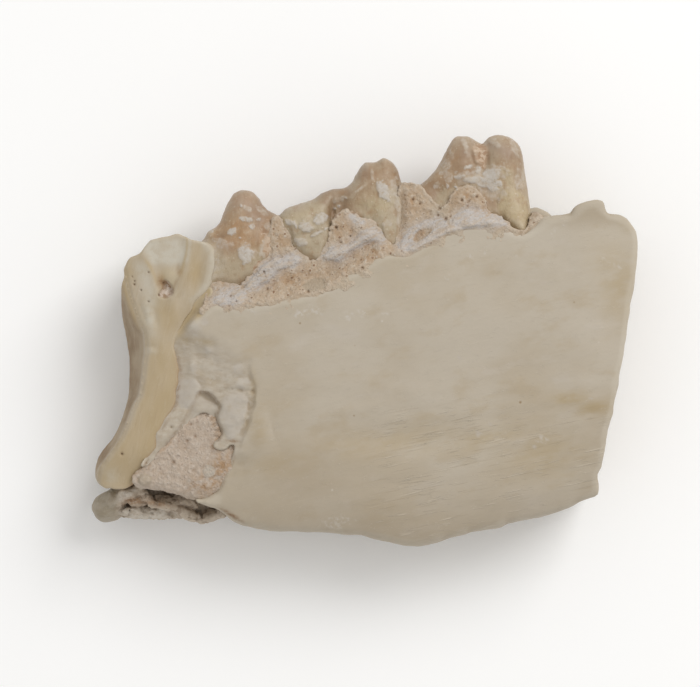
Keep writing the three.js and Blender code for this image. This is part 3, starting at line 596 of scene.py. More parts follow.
def make_stump():
    g = Grid(axis((-32.2, 0.15), (-16.2, 0.15), -16.1), axis((-18.0, 0.16), (1, 0.16), (4, 0.13), (13.6, 0.13), 13.5),
             axis((3.2, 0.28), (9, 0.24), (10.5, 0.15), (14, 0.15), 13.9))
    X, Y, Z = g.X, g.Y, g.Z
    wave = 0.05 * noise(X / 1.3, Y / 1.3, seed=31) + 0.03 * noise(X * 1.6, Y * 1.6, seed=39)
    flat = both(stump_left(Y) - X, X - root_edge(Y) - 0.12 - 0.10 * noise(Y * 0.9, 1.3, seed=28), 0.2)
    flat = both(flat, above(Y, stump_top, X), 0.12)
    flat = both(flat, -16.95 - Y + 0.25 * noise(X * 0.9, 0.3, seed=32), 0.7) + wave
    body = g.body(flat, stump_face(X, Y) - 0.10 * ease(0.5, -0.1, root_edge(Y) - X) * ease(6, 8, Y), 3.95, 0.05 + 0.25 * ease(1.2, 2.2, root_edge(Y) - X))

    def fine(x, y, z):
        calm = 1 - 0.8 * ease(-0.1, 0.4, lit_edge(y) - x)
        return calm * (0.01 * noise(x / 0.5, y / 1.6, z / 0.8, seed=35) + 0.015 * noise(x / 1.1, y / 2.0, z / 1.6, seed=36))
    body = g.rough(body, fine)
    ob, p, n, hollow = skin("stump", g, body, ["broken_tooth"])
    x, y, z = p.T
    out = lit_edge(y) - x
    flank = ease(-0.05, 0.5, out)
    vin = ease(-0.3, 1.0, x - V_LEFT(y)) * ease(-0.2, 0.3, V_RIGHT(y) - x) * ease(5.0, 6.0, y)
    hole = ease(0.1, -0.12, loop_distance(x, y, pulp_hole) + 0.10 * noise(x * 2, y * 2, seed=30))
    dome = blob(x, y, -22.2, 7.2, 1.3, 1.05, 1.3)
    tan = vin * np.clip(dome + 0.5 * ease(7.4, 6.0, y), 0, 1)
    chalk = 0.85 * vin * ease(8.3, 9.3, y + 0.25 * noise(x, y, seed=29)) * (1 - 0.5 * blob(x, y, -22.9, 10.9, 1.0, 0.9, 0.5)) * ease(12.3, 11.2, y)
    chalk = np.maximum(chalk, 0.6 * np.exp(-((x - V_LEFT(y) + 1.0) / 0.9) ** 2) * ease(3.0, 4.5, y) * ease(10.0, 8.2, y))
    chalk = np.maximum(chalk, blob(x, y, -24.7, 2.9, 0.8, 0.8, 2.0, 12) + blob(x, y, -24.4, -1.0, 0.5, 0.7, 0.4))
    chalk = np.maximum(chalk, 0.6 * np.exp(-((root_edge(y) - 0.45 - x) / 0.55) ** 2) * ease(3, 6, y))
    # a whitish line just right of the right crease: painted highlight
    chalk = np.maximum(chalk, 0.6 * np.exp(-((x - V_RIGHT(y) - 0.3) / 0.22) ** 2) * ease(8.5, 9.5, y))
    chalk = np.maximum(chalk, blob(x, y, -29.2, -15.5, 0.4, 0.9, 1.0))
    gold = np.maximum(blob(x, y, -19.3, 7.9, 0.75, 1.0, 2.3, -6), blob(x, y, -22.6, 2.4, 0.7, 2.2, 2.6))
    gold = np.maximum(gold, 0.65 * ease(3, -2, y) * ease(0.1, 0.9, x - lit_edge(y)))
    gold = np.maximum(gold, blob(x, y, -27.1, 8.4, 0.6, 0.7, 1.6))
    gold = np.maximum(gold, 0.8 * np.exp(-((x - V_LEFT(y) - 0.1) / 0.28) ** 2) * ease(6, 7, y) * ease(9.8, 9.0, y))
    gold = np.maximum(gold, 0.9 * np.exp(-((x - V_RIGHT(y)) / 0.25) ** 2) * ease(7, 8, y))
    gold = np.maximum(gold, blob(x, y, -23.0, 7.2, 1.0, 0.7, 0.9))
    rust = np.maximum(blob(x, y, -23.3, 6.8, 0.85, 0.42, 0.75, 12), blob(x, y, -21.15, 7.95, 0.45, 0.30, 0.42, -10))
    rust = np.maximum(rust, blob(x, y, -22.95, 6.85, 0.9, 0.16, 0.22))
    rust = np.maximum(rust, 0.3 * np.exp(-((x - V_RIGHT(y) + 0.12) / 0.16) ** 2) * ease(5.0, 5.4, y) * ease(7.6, 6.8, y))
    # brown line where the root meets the bone, and the stained tip of the root
    rust = np.maximum(rust, 0.75 * np.exp(-((root_edge(y) + 0.08 - x) / 0.26) ** 2) * ease(-1.0, -2.5, y) * (0.55 + 0.45 * ease(-7, -9, y) + 0.5 * noise(y * 0.8, x * 0.3, seed=92)))
    sliver = np.exp(-((out - 0.35) / 0.4) ** 2) * ease(0.5, 3.5, y) * ease(9.5, 7.5, y)
    pit = sum(blob(x, y, cx, cy, 1.0, r * 1.1) for cx, cy, r in PITS)
    pit = np.clip(pit + (hole > 0) * 1.2 * blob(x, y, -23.55, 5.35, 1, 0.13) + 1.2 * blob(x, y, -23.05, 6.75, 1, 0.12), 0, 1)
    mark(ob, flank=flank, chalk=np.clip(chalk, 0, 1), gold=np.clip(gold, 0, 1), rust=np.clip(rust, 0, 1), tan=np.clip(tan, 0, 1),
         grit=hole, sliver=sliver, pit=np.clip(pit, 0, 1), hollow=np.clip(hollow / 0.06, -1, 1))
    return ob


# ------------------------------------------------------------------ crowns
front_top = profile([-18.9, 11.4], [-18.4, 12.0], [-18.0, 12.7], [-17.3, 13.1], [-16.7, 13.7], [-16.1, 15.2], [-15.6, 16.3],
                    [-14.9, 17.2], [-14.0, 17.5], [-12.9, 17.3], [-12.3, 16.7], [-11.7, 15.8], [-11.0, 15.1], [-10.2, 14.7], [-9.2, 14.2])
front_low = profile([-18.9, 5.2], [-16.5, 5.6], [-14.8, 5.4], [-13.0, 6.2], [-11.5, 7.6], [-10.2, 9.2], [-9.6, 12.0])
middle_top = profile([-10.2, 14.2], [-9.8, 14.6], [-8.9, 15.4], [-7.4, 15.95], [-6.0, 16.4], [-4.9, 17.1], [-3.8, 17.55],
                     [-2.2, 17.8], [-1.4, 18.4], [-0.8, 19.5], [-0.2, 20.4], [0.25, 20.75], [1.15, 20.7], [1.75, 21.0],
                     [2.3, 21.25], [3.0, 20.9], [3.7, 20.2], [4.05, 19.3], [4.3, 18.3], [4.8, 17.9], [5.5, 17.7])
middle_low = profile([-10.2, 12.4], [-9, 11.2], [-8, 9.6], [-6.5, 8.5], [-5.2, 8.2], [-4.2, 9.4], [-3.2, 12.2], [-1.6, 13.2],
                     [0.3, 12.6], [1.6, 11.0], [2.6, 9.5], [3.9, 9.4], [4.5, 11.0], [4.8, 13.5])
rear_top = profile([5.0, 17.5], [5.6, 17.9], [6.3, 18.05], [7.1, 18.6], [7.9, 19.4], [8.6, 20.3], [9.15, 21.4], [9.7, 22.4],
                   [10.3, 23.4], [10.9, 23.75], [11.9, 23.75], [12.6, 23.4], [13.2, 23.05], [13.7, 22.85], [14.1, 23.3],
                   [14.7, 23.75], [15.5, 23.9], [16.6, 23.7], [17.5, 23.15], [18.1, 22.4], [18.35, 21.4], [18.6, 19.4],
                   [19.0, 16.8], [19.35, 14.4])
rear_low = profile([5.0, 16.0], [7.5, 14.4], [9.5, 13.4], [13, 13.4], [15.6, 13.0], [16.5, 12.2], [18.2, 11.8], [19.35, 12.6])


def crown_field(g, top, low, span, relief, dome, thin):
    X, Y = g.X, g.Y
    edge = 0.05 * noise(X * 1.2, Y * 1.2, seed=41) + 0.03 * noise(X * 3, Y * 3, seed=40)
    xs = np.linspace(span[0] - 1.2, span[1] + 1.2, 100)
    rim = line_distance(X, Y, np.stack([xs, top(xs)], 1), 0)
    d_top = np.where(Y > top(X), rim, -rim)
    d = both(d_top, -above(Y, low, X), 0.3)
    d = both(d, both(span[0] - X, X - span[1], 0.3), 0.25) + edge
    puff = np.sqrt(np.clip(1 - (1 - np.clip(-d_top / dome, 0, 1)) ** 2, 0, 1))
    half = np.maximum(4.55 - thin * np.clip(Y - 11, 0, 99) ** 1.3, 1.6)
    face = 8.4 + half * (0.50 + 0.50 * puff) + relief(X, Y) - 0.55 * ease(1.9, 0.4, above(Y, low, X))
    under = 8.4 - (half - 0.1) * (0.45 + 0.55 * puff) - 0.5 * relief(X + 0.7, Y - 0.5)
    return g.body(d, face, under, 0.5)


def spots(x, y, listed, seed, ragged=0.45):
    """Patches with ragged edges: x, y, half width, half height, turn."""
    out = np.zeros(np.shape(x))
    wob = ragged * noise(x * 1.7, y * 1.7, seed=seed) + 0.6 * ragged * noise(x * 4, y * 4, seed=seed + 1)
    for cx, cy, rx, ry, turn in listed:
        c, s = math.cos(math.radians(turn)), math.sin(math.radians(turn))
        u, v = ((x - cx) * c + (y - cy) * s) / rx, (-(x - cx) * s + (y - cy) * c) / ry
        out = np.maximum(out, ease(1.12, 0.88, np.hypot(u, v) + wob))
    return out


FRONT_CHALK = [(-13.55, 10.15, 0.75, 1.05, 15), (-15.2, 12.6, 0.55, 0.42, 30), (-13.5, 14.0, 0.75, 0.28, -15), (-12.85, 13.2, 0.32, 0.36, 20),
               (-12.2, 14.0, 0.30, 0.16, 20), (-14.1, 15.6, 0.13, 0.24, 20), (-17.6, 12.7, 0.30, 0.20, 0), (-14.2, 11.9, 0.12, 0.12, 0)]
FRONT_BLOOM = [(-10.9, 13.1, 0.75, 0.6, 0), (-11.2, 11.7, 0.45, 0.6, 10), (-11.5, 10.3, 0.6, 0.9, -25), (-13.3, 15.2, 0.5, 0.3, -20),
               (-11.9, 15.1, 0.9, 0.35, -38), (-16.3, 11.2, 1.1, 0.5, -20), (-12.6, 10.0, 0.5, 0.3, 40)]
MIDDLE_CHALK = [(-8.6, 13.7, 0.45, 0.30, -25), (-7.9, 13.4, 0.16, 0.42, 15), (-6.7, 13.15, 0.75, 0.52, -10), (-5.0, 14.1, 0.85, 0.55, 30),
                (-7.3, 11.4, 0.75, 0.50, 0), (-5.6, 12.3, 0.5, 0.16, 25), (-5.0, 12.6, 0.3, 0.14, 30), (-4.4, 12.9, 0.3, 0.14, 30),
                (2.2, 17.3, 0.60, 1.15, 25), (-2.9, 15.6, 0.22, 0.16, 30), (-3.4, 15.3, 0.14, 0.12, 0), (-2.1, 16.5, 0.12, 0.10, 0)]
MIDDLE_BLOOM = [(3.6, 17.0, 0.6, 1.9, 4), (4.1, 14.6, 0.3, 1.5, 0), (0.9, 19.3, 0.14, 0.7, 8), (-0.3, 17.7, 0.8, 0.10, 35),
                (2.6, 13.6, 0.9, 0.35, 0), (-3.0, 16.3, 0.9, 0.3, 25)]
REAR_CHALK = [(14.0, 18.2, 0.9, 0.5, -10), (14.9, 17.6, 0.5, 0.4, 0), (11.0, 18.95, 0.65, 0.20, 10), (12.6, 18.6, 1.2, 0.38, 5), (14.6, 19.0, 1.0, 0.85, 35), (12.0, 20.1, 0.7, 0.2, 20), (13.1, 19.8, 0.3, 0.5, 0),
              (10.6, 17.7, 0.35, 0.12, -35), (9.6, 17.9, 0.14, 0.24, 0), (15.3, 18.2, 0.5, 0.4, 0), (13.6, 18.2, 0.6, 0.3, 0)]
REAR_BLOOM = [(9.7, 18.9, 0.5, 0.6, 20), (8.4, 18.0, 0.4, 0.4, 0), (13.9, 17.4, 1.5, 0.7, 0), (10.1, 21.4, 0.25, 0.6, 10), (17.7, 18.5, 0.3, 1.5, -4), (11.6, 22.7, 0.30, 0.9, 15), (15.1, 22.9, 0.9, 0.35, -40), (17.3, 22.3, 0.3, 0.9, 20), (18.0, 18.8, 0.55, 1.5, -5),
              (14.8, 19.4, 1.6, 1.0, 10), (12.0, 18.9, 1.6, 0.8, 10), (9.4, 20.2, 0.5, 0.9, -30), (15.2, 16.9, 0.9, 0.8, 0)]
rear_drop = [(16.2, 18.0), (15.6, 17.0), (15.3, 16.0), (15.5, 15.1), (15.9, 14.2), (16.4, 13.3), (17.2, 12.4), (18.4, 11.2),
             (19.8, 11.6), (20.2, 13.2), (20.0, 14.8), (19.2, 16.0), (18.0, 16.9), (17.2, 17.7)]
rear_notch = [(12.6, 22.3), (13.5, 22.9), (14.25, 22.2), (14.2, 20.8), (13.7, 19.9), (13.1, 20.5), (12.7, 21.4)]


TONES = {
    "crown_front": dict(
        dark=[(-16.7, 12.0, 0.8, 0.4, 20, 0.8), (-10.7, 14.5, 1.2, 0.45, -35, 1.1), (-10.8, 10.5, 0.22, 1.8, 4, 0.8), (-16.6, 6.9, 1.0, 0.35, 25, 0.6),
              (-13.9, 6.8, 1.1, 0.4, 20, 0.8), (-12.4, 15.2, 0.7, 1.1, -10, 0.7), (-14.4, 17.0, 1.0, 0.5, 0, 0.5), (-12.2, 11.9, 0.3, 0.7, 0, 0.4),
              (-12.0, 13.6, 0.5, 1.0, -15, 0.6)],
        amber=[(-13.7, 12.8, 3.6, 2.0, -8, 1.3), (-15.9, 11.6, 1.6, 1.1, 20, 0.9), (-12.1, 13.5, 1.2, 1.6, 0, 0.7), (-14.0, 16.4, 2.2, 1.2, 0, 0.7)],
        olive=[(-14.8, 8.2, 3.0, 1.4, 5, 0.9), (-12.3, 9.4, 1.0, 0.8, 0, 0.6)],
        gold=[(-18.0, 9.0, 1.0, 3.0, 0, 0.9)],
        grape=[(-13.8, 16.0, 1.9, 1.2, 0, 0.9), (-15.7, 10.9, 0.9, 0.7, -10, 0.7), (-12.0, 14.2, 1.3, 0.9, -38, 0.9)]),
    "crown_middle": dict(
        dark=[(-3.3, 16.9, 1.5, 0.9, 12, 2.6), (-2.8, 15.2, 1.4, 0.55, 18, 0.9), (-2.0, 14.6, 1.6, 0.5, 8, 1.1), (-6.6, 9.3, 1.8, 0.35, -28, 0.9),
              (-5.0, 9.2, 0.8, 0.6, 20, 0.8), (2.2, 20.2, 0.5, 1.2, 10, 0.5), (3.6, 19.1, 0.5, 1.5, 8, 0.8), (0.2, 19.3, 0.8, 1.1, -20, 0.6), (3.4, 14.8, 0.7, 0.8, 0, 0.3)],
        amber=[(2.4, 19.5, 1.6, 1.7, 0, 1.3), (-0.5, 16.4, 2.4, 0.8, 22, 1.0), (0.2, 18.6, 1.2, 1.4, 0, 0.9), (-3.8, 12.6, 0.5, 1.4, 0, 0.6)],
        olive=[(-5.6, 11.0, 2.2, 1.6, 10, 1.2), (-8.9, 12.9, 1.2, 0.9, -30, 0.8), (3.0, 12.4, 1.1, 2.0, 0, 1.0)],
        gold=[(1.2, 15.6, 1.8, 1.2, 0, 0.9), (-7.2, 14.6, 3.0, 0.7, 18, 0.5)],
        grape=[(-7.4, 15.5, 1.2, 0.7, 20, 0.6), (0.1, 19.6, 0.7, 0.9, -20, 0.7)]),
    "crown_rear": dict(
        dark=[(7.5, 17.8, 1.3, 0.5, 10, 1.0), (7.8, 17.0, 0.5, 0.6, 0, 0.9), (14.3, 21.2, 0.16, 0.9, 0, 1.0), (12.4, 19.5, 0.42, 0.34, 0, 1.0),
              (18.0, 20.4, 0.25, 1.4, 0, 0.8), (14.4, 15.7, 1.1, 0.4, -10, 0.6), (11.4, 20.2, 1.2, 0.4, 10, 0.7), (12.6, 21.2, 0.2, 0.9, 10, 0.7),
              (11.5, 21.9, 0.6, 1.2, 0, 0.7), (16.6, 21.3, 1.0, 1.4, 0, 0.6), (7.2, 16.8, 0.8, 1.0, 0, 0.7), (17.6, 18.6, 0.3, 1.2, 0, 0.6)],
        amber=[(10.4, 21.0, 1.3, 1.8, 10, 1.1), (9.3, 18.6, 2.2, 0.8, 15, 1.2), (16.5, 20.4, 1.0, 1.6, 0, 1.2), (12.0, 20.7, 1.4, 0.8, 0, 0.8), (13.5, 16.2, 2.6, 0.9, 0, 0.8)],
        olive=[(9.0, 16.4, 1.6, 1.2, 0, 1.0), (16.2, 18.6, 0.8, 1.2, 0, 0.9)],
        gold=[(16.4, 18.9, 0.8, 1.6, 0, 0.8)],
        grape=[(15.7, 22.2, 1.8, 0.9, -20, 1.1), (11.6, 21.6, 0.9, 0.7, 20, 0.7), (11.2, 23.0, 1.2, 0.5, 0, 0.7)]),
}


def tone(x, y, listed, seed):
    """Soft patches of colour: x, y, half width, half height, turn, strength."""
    wob = 0.30 * noise(x / 0.9, y / 0.9, seed=seed) + 0.22 * noise(x / 0.4, y / 0.4, seed=seed + 1)
    total = sum(blob(x, y, cx, cy, v, rx * 1.15, ry * 1.15, turn) for cx, cy, rx, ry, turn, v in listed)
    return np.clip(total * (1 + wob) + 0.35 * wob * (total > 0.25), 0, 1)


def relief_front(x, y):
    r = blob(x, y, -14.0, 13.6, 0.35, 1.6, 3.8, 4) + blob(x, y, -14.8, 9.4, 0.25, 2.2, 2.4)
    rough = ease(-11.8, -11.2, x + 0.3 * noise(y, x, seed=151)) * ease(13.6, 12.6, y)
    r = r + rough * 0.16 * fbm(x / 0.5, y / 0.5, seed=152, octaves=2)
    r = r - blob(x, y, -11.6, 13.0, 0.10, 0.6, 2.2, 15) - blob(x, y, -16.9, 11.4, 0.25, 0.7, 1.8, -15)
    r = r - 1.6 * ease(-0.25, -0.95, x - root_edge(y)) * ease(11.9, 11.2, y)
    r = r + 0.10 * noise(x / 1.8, y / 1.8, seed=46) + 0.04 * noise(x * 1.5, y * 1.5, seed=146)
    return r + 0.09 * spots(x, y, FRONT_CHALK, 71) + 0.06 * spots(x, y, FRONT_BLOOM, 72)


def relief_middle(x, y):
    r = blob(x, y, -6.8, 13.0, 0.5, 2.4, 3.0) + blob(x, y, 2.0, 15.5, 0.45, 1.8, 4.2, 8)
    r = r - blob(x, y, -2.9, 15.6, 0.9, 1.1, 1.5, -25) - blob(x, y, -3.9, 14.4, 0.5, 0.5, 1.2)
    r = r + blob(x, y, -0.6, 17.5, 0.30, 2.2, 0.45, 38) - blob(x, y, 0.0, 15.2, 0.25, 1.4, 0.7, -20)
    r = r - blob(x, y, -6.6, 12.4, 0.12, 2.4, 0.18, 12)
    r = r + 0.10 * noise(x / 1.8, y / 1.8, seed=47) + 0.04 * noise(x * 1.5, y * 1.5, seed=147)
    return r + 0.14 * spots(x, y, MIDDLE_CHALK, 73) + 0.06 * spots(x, y, MIDDLE_BLOOM, 74)


def relief_rear(x, y):
    r = blob(x, y, 11.3, 20.5, 0.40, 1.5, 3.2, 10) + blob(x, y, 16.0, 20.8, 0.40, 1.5, 3.0)
    r = r - blob(x, y, 13.7, 21.6, 0.8, 0.8, 2.0) - blob(x, y, 8.3, 17.2, 0.4, 1.2, 1.0) - blob(x, y, 13.4, 17.2, 0.3, 2.4, 1.1)
    r = r + pillow(loop_distance(x, y, rear_drop), 0.22, 2.0, 0.05, 0.2) + blob(x, y, 18.0, 12.7, 1.35, 1.15, 1.5, 20)
    nt = loop_distance(x, y, rear_notch)
    nt = nt + 0.25 * noise(x * 1.2, y * 1.2, seed=150)
    r = r + ease(0.3, -0.4, nt) * (0.45 + 0.14 * fbm(x / 0.6, y / 0.6, seed=149, octaves=2))
    r = r + 0.12 * noise(x / 1.6, y / 1.6, seed=48) + 0.05 * noise(x * 1.4, y * 1.4, seed=148)
    return r + 0.10 * spots(x, y, REAR_CHALK, 75) * (1 - blob(x, y, 12.4, 19.7, 1.0, 0.35)) + 0.06 * spots(x, y, REAR_BLOOM, 76)


def make_crown(node, top, low, span, relief, dome, thin, chalk, bloom, seed):
    xs = np.linspace(*span, 60)
    g = uniform((span[0] - 0.9, low(xs).min() - 0.9, 3.0), (span[1] + 0.9, top(xs).max() + 0.9, 14.2), 0.145)
    body = crown_field(g, top, low, span, relief, dome, thin)

    def fine(x, y, z):
        return 0.03 * noise(x / 0.9, y / 0.9, z / 0.9, seed=43) + 0.015 * noise(x * 3, y * 3, z * 3, seed=44)
    body = g.rough(body, fine)
    ob, p, n, hollow = skin(node + "_skin", g, body, [node])
    x, y, z = p.T
    shown = ease(6.5, 9.0, z)
    marks = dict(chalk=spots(x, y, chalk, seed) * shown, bloom=spots(x, y, bloom, seed + 1, 0.6) * shown,
                 hollow=np.clip(hollow / 0.06, -1, 1))
    tones = TONES[node]
    for n, key in enumerate(("dark", "amber", "olive", "gold", "grape")):
        marks[key] = tone(x, y, tones[key], 91 + 3 * n + seed)
    if node == "crown_front":
        beside = ease(1.5, 0.0, x - root_edge(y) + 0.4 * noise(x * 1.3, y * 1.3, seed=95)) * ease(6.6, 7.6, y) * ease(13.0, 11.6, y)
        marks["bloom"] = np.maximum(marks["bloom"], 0.9 * beside)
        marks["gold"] = np.maximum(marks["gold"], 0.5 * beside)
        marks["grit"] = spots(x, y, [(-10.8, 10.6, 0.6, 2.2, 4), (-11.3, 12.4, 0.35, 0.8, 20), (-12.0, 8.6, 0.8, 0.5, 40)], 83, 0.9)
    elif node == "crown_middle":
        marks["grit"] = spots(x, y, [(-2.0, 14.6, 1.5, 0.35, 12)], 87, 0.8)
    else:
        marks["grit"] = ease(0.15, -0.15, loop_distance(x, y, rear_notch) + 0.3 * noise(x * 1.4, y * 1.4, seed=85))
        drop = ease(0.35, -0.2, loop_distance(x, y, rear_drop) + 0.12 * noise(x * 1.5, y * 1.5, seed=86)) * ease(18.4, 16.8, y)
        for key in ("dark", "amber", "olive", "grape"):
            marks[key] = marks[key] * (1 - drop)
        marks["gold"] = np.maximum(marks["gold"], drop)
    mark(ob, **marks)
    return ob


# ------------------------------------------------------------------ sediment
def crumbly(x, y, z, seed, size, lost=0.10):
    """A rough crumbling surface with a few lost sand grains."""
    near, own = grains(x / size, y / size, z / size, seed)
    lump = fbm(x / 1.1, y / 1.1, z / 1.1, seed + 3, 3, 0.72)
    small = noise(x / 0.26, y / 0.26, z / 0.26, seed + 7)
    return 0.035 * ease(0.2, 0.8, near) * (0.5 + own) + lost * (own > 0.97) + 0.105 * lump + 0.045 * small - 0.03


matrix_loop = [(-18.0, 3.5), (-18.1, 4.6), (-17.7, 5.8), (-17.1, 6.8), (-16.4, 7.3), (-15.6, 7.0), (-14.8, 6.5), (-13.9, 6.6), (-13.1, 7.4),
               (-11.9, 8.8), (-10.95, 9.9), (-10.75, 11.0), (-10.95, 12.1), (-10.7, 13.2), (-10.15, 14.3), (-9.8, 14.3),
               (-9.2, 13.1), (-8.5, 12.0), (-8.2, 11.1), (-7.6, 10.3), (-6.8, 9.7), (-6.0, 9.2), (-5.4, 9.0), (-5.1, 9.7),
               (-4.6, 10.6), (-4.2, 11.5), (-4.0, 12.6), (-3.8, 13.4), (-3.2, 14.2), (-2.6, 14.6), (-2.1, 15.0), (-1.5, 14.6),
               (-0.5, 14.3), (0.5, 14.0), (1.1, 13.6), (1.8, 12.8), (2.3, 11.9), (2.65, 11.3), (3.2, 10.95), (3.75, 11.1),
               (3.95, 11.9), (3.9, 13.0), (4.15, 15.0), (4.3, 17.6), (5.0, 18.05), (6.1, 17.8), (6.9, 17.0), (7.5, 16.3),
               (8.1, 15.7), (8.8, 15.2), (9.5, 15.5), (10.1, 16.4), (10.9, 17.4), (11.9, 17.7), (13.0, 17.2), (13.7, 16.1),
               (14.1, 14.9), (15.1, 14.4), (16.0, 13.8), (16.6, 13.1), (17.2, 12.65), (17.9, 12.35), (18.6, 12.45), (18.9, 13.1), (19.05, 14.0), (19.4, 14.55), (19.8, 14.45),
               (19.8, 13.7), (19.4, 12.5), (18.4, 11.4), (16.6, 11.8),
               (13.9, 12.3), (12.1, 12.4), (9.3, 11.4), (6.2, 9.7), (4.7, 9.1), (2.4, 9.3), (0.3, 8.0), (-2.2, 6.8), (-4.5, 5.3),
               (-7.7, 4.4), (-9.7, 3.9), (-13, 3.4), (-15.4, 3.2)]
front_ridge = [(-13.7, 6.2), (-13.1, 7.1), (-12.2, 8.1), (-11.3, 9.0), (-10.2, 9.6), (-9.0, 9.8), (-7.7, 9.7), (-7.2, 9.3),
               (-7.8, 8.8), (-9.1, 8.5), (-10.0, 8.0), (-10.8, 7.1), (-11.7, 6.5), (-12.9, 6.0)]
corner_ridge = [(-17.1, 4.4), (-16.9, 5.4), (-16.1, 6.0), (-14.7, 6.1), (-13.8, 5.6), (-13.9, 4.9), (-15.2, 4.3)]
middle_ridge = [(-4.8, 9.6), (-4.1, 10.3), (-3.3, 10.8), (-2.2, 11.0), (-1.4, 11.3), (-0.8, 11.9), (-0.2, 12.6), (0.7, 12.9),
                (1.6, 12.7), (2.3, 12.1), (1.6, 11.5), (0.4, 11.4), (-0.2, 11.1), (-1.4, 10.5), (-2.2, 9.7), (-3.3, 9.2)]
upper_ridge = [(-1.6, 14.3), (-0.9, 14.2), (-0.1, 13.9), (-0.8, 13.6)]
rear_ridge = [(10.1, 13.6), (10.4, 14.3), (11.1, 14.9), (12.1, 15.3), (13.4, 14.9), (14.6, 14.5), (15.8, 13.9), (16.2, 13.4),
              (14.9, 13.3), (13.3, 13.1), (11.6, 13.1)]
wedge_ridge = [(4.1, 10.7), (4.5, 12.1), (5.7, 13.0), (7.0, 13.8), (8.4, 14.0), (9.4, 13.5), (8.5, 12.6), (7.0, 11.6), (5.5, 10.6)]
wedge_lens = [(5.6, 11.6), (6.1, 12.6), (7.1, 13.0), (7.8, 12.8), (7.2, 12.1), (6.2, 11.4)]
long_ridge = [(5.5, 10.5), (7.6, 11.7), (9.3, 12.5), (11.0, 13.0), (12.3, 13.3)]
bare_patch = [(-7.0, 6.6), (-6.0, 7.2), (-4.8, 7.3), (-4.3, 6.7), (-4.6, 5.9), (-6.0, 5.7), (-6.9, 5.9)]
RIDGES = ((front_ridge, 0.42), (corner_ridge, 0.24), (middle_ridge, 0.42), (upper_ridge, 0.2), (rear_ridge, 0.30), (wedge_ridge, 0.30))
MATRIX_PITS = ((8.7, 15.3, 0.15), (-6.4, 5.7, 0.17), (-13.9, 7.1, 0.13), (-11.5, 8.0, 0.13), (-11.1, 6.0, 0.15), (-3.2, 13.1, 0.18), (-1.6, 12.1, 0.13),
               (-2.7, 11.4, 0.12), (-0.2, 8.4, 0.18), (8.5, 14.5, 0.15), (9.35, 14.05, 0.20), (9.9, 14.3, 0.11),
               (-15.3, 5.2, 0.12), (-14.6, 4.6, 0.11), (5.6, 16.3, 0.14), (6.4, 15.8, 0.12), (12.0, 16.1, 0.14),
               (12.9, 16.6, 0.16), (11.2, 16.2, 0.14))


def chalky(x, y):
    c = np.zeros(np.shape(x))
    wob = 0.22 * noise(x * 1.3, y * 1.3, seed=58) + 0.16 * noise(x * 3.5, y * 3.5, seed=59)
    for loop, _ in RIDGES:
        away = loop_distance(x, y, loop, 3)
        c = np.maximum(c, np.maximum(ease(0.46, 0.02, away + wob), 0.36 * ease(1.3, 0.2, away + 2 * wob)))
    c = np.maximum(c, ease(0.30, 0.12, line_distance(x, y, long_ridge) + 0.5 * wob))
    return c * (1 - 0.9 * ease(0.1, -0.1, loop_distance(x, y, wedge_lens, 3)))


def matrix_face(x, y):
    rise = y - gum_line(x)
    sound = BONE_FACE + 0.1 - BORDER_FALL * np.minimum(0, y - 4) ** 2 + blob(x, y, 6, 4, 0.3, 16, 5)
    face = sound - 0.16 + 0.24 * ease(-0.8, 1.4, rise + 0.3 * noise(x / 0.9, y / 0.9, seed=49))
    face = lerp(face, 13.05, ease(0.3, 2.6, rise)) - 0.15 * ease(3, 8, rise) - 0.20 * ease(-13, -18, x)
    face = face - 0.40 * ease(1.3, 0.1, x - 4.0) * ease(-0.3, 0.3, x - 3.6) * ease(12.0, 13.6, y) - 0.5 * ease(18.0, 18.8, x)
    for loop, height in RIDGES:
        face = face + pillow(loop_distance(x, y, loop, 3) + 0.12 * noise(x / 0.8, y / 0.8, seed=56), 0.8 * height, 0.8)
    face = face + 0.25 * np.exp(-(line_distance(x, y, long_ridge) / 0.28) ** 2)
    # furrows inside the front and the wedge ridges
    face = face - 0.20 * np.exp(-(line_distance(x, y, [(-10.6, 8.5), (-9.6, 9.1), (-8.0, 9.25)]) / 0.2) ** 2)
    face = face - 0.14 * np.exp(-(line_distance(x, y, [(-12.9, 6.6), (-12.0, 7.4), (-11.0, 8.0)]) / 0.16) ** 2)
    face = face - 0.30 * ease(0.15, -0.2, loop_distance(x, y, wedge_lens, 3))
    face = face - 0.15 * ease(0.2, -0.2, loop_distance(x, y, bare_patch, 3))
    for cx, cy, r in MATRIX_PITS:
        face = face - blob(x, y, cx, cy, 0.40, r, 0.75 * r, 200 * cx)
    return face + 0.16 * noise(x / 1.7, y / 1.7, seed=53)


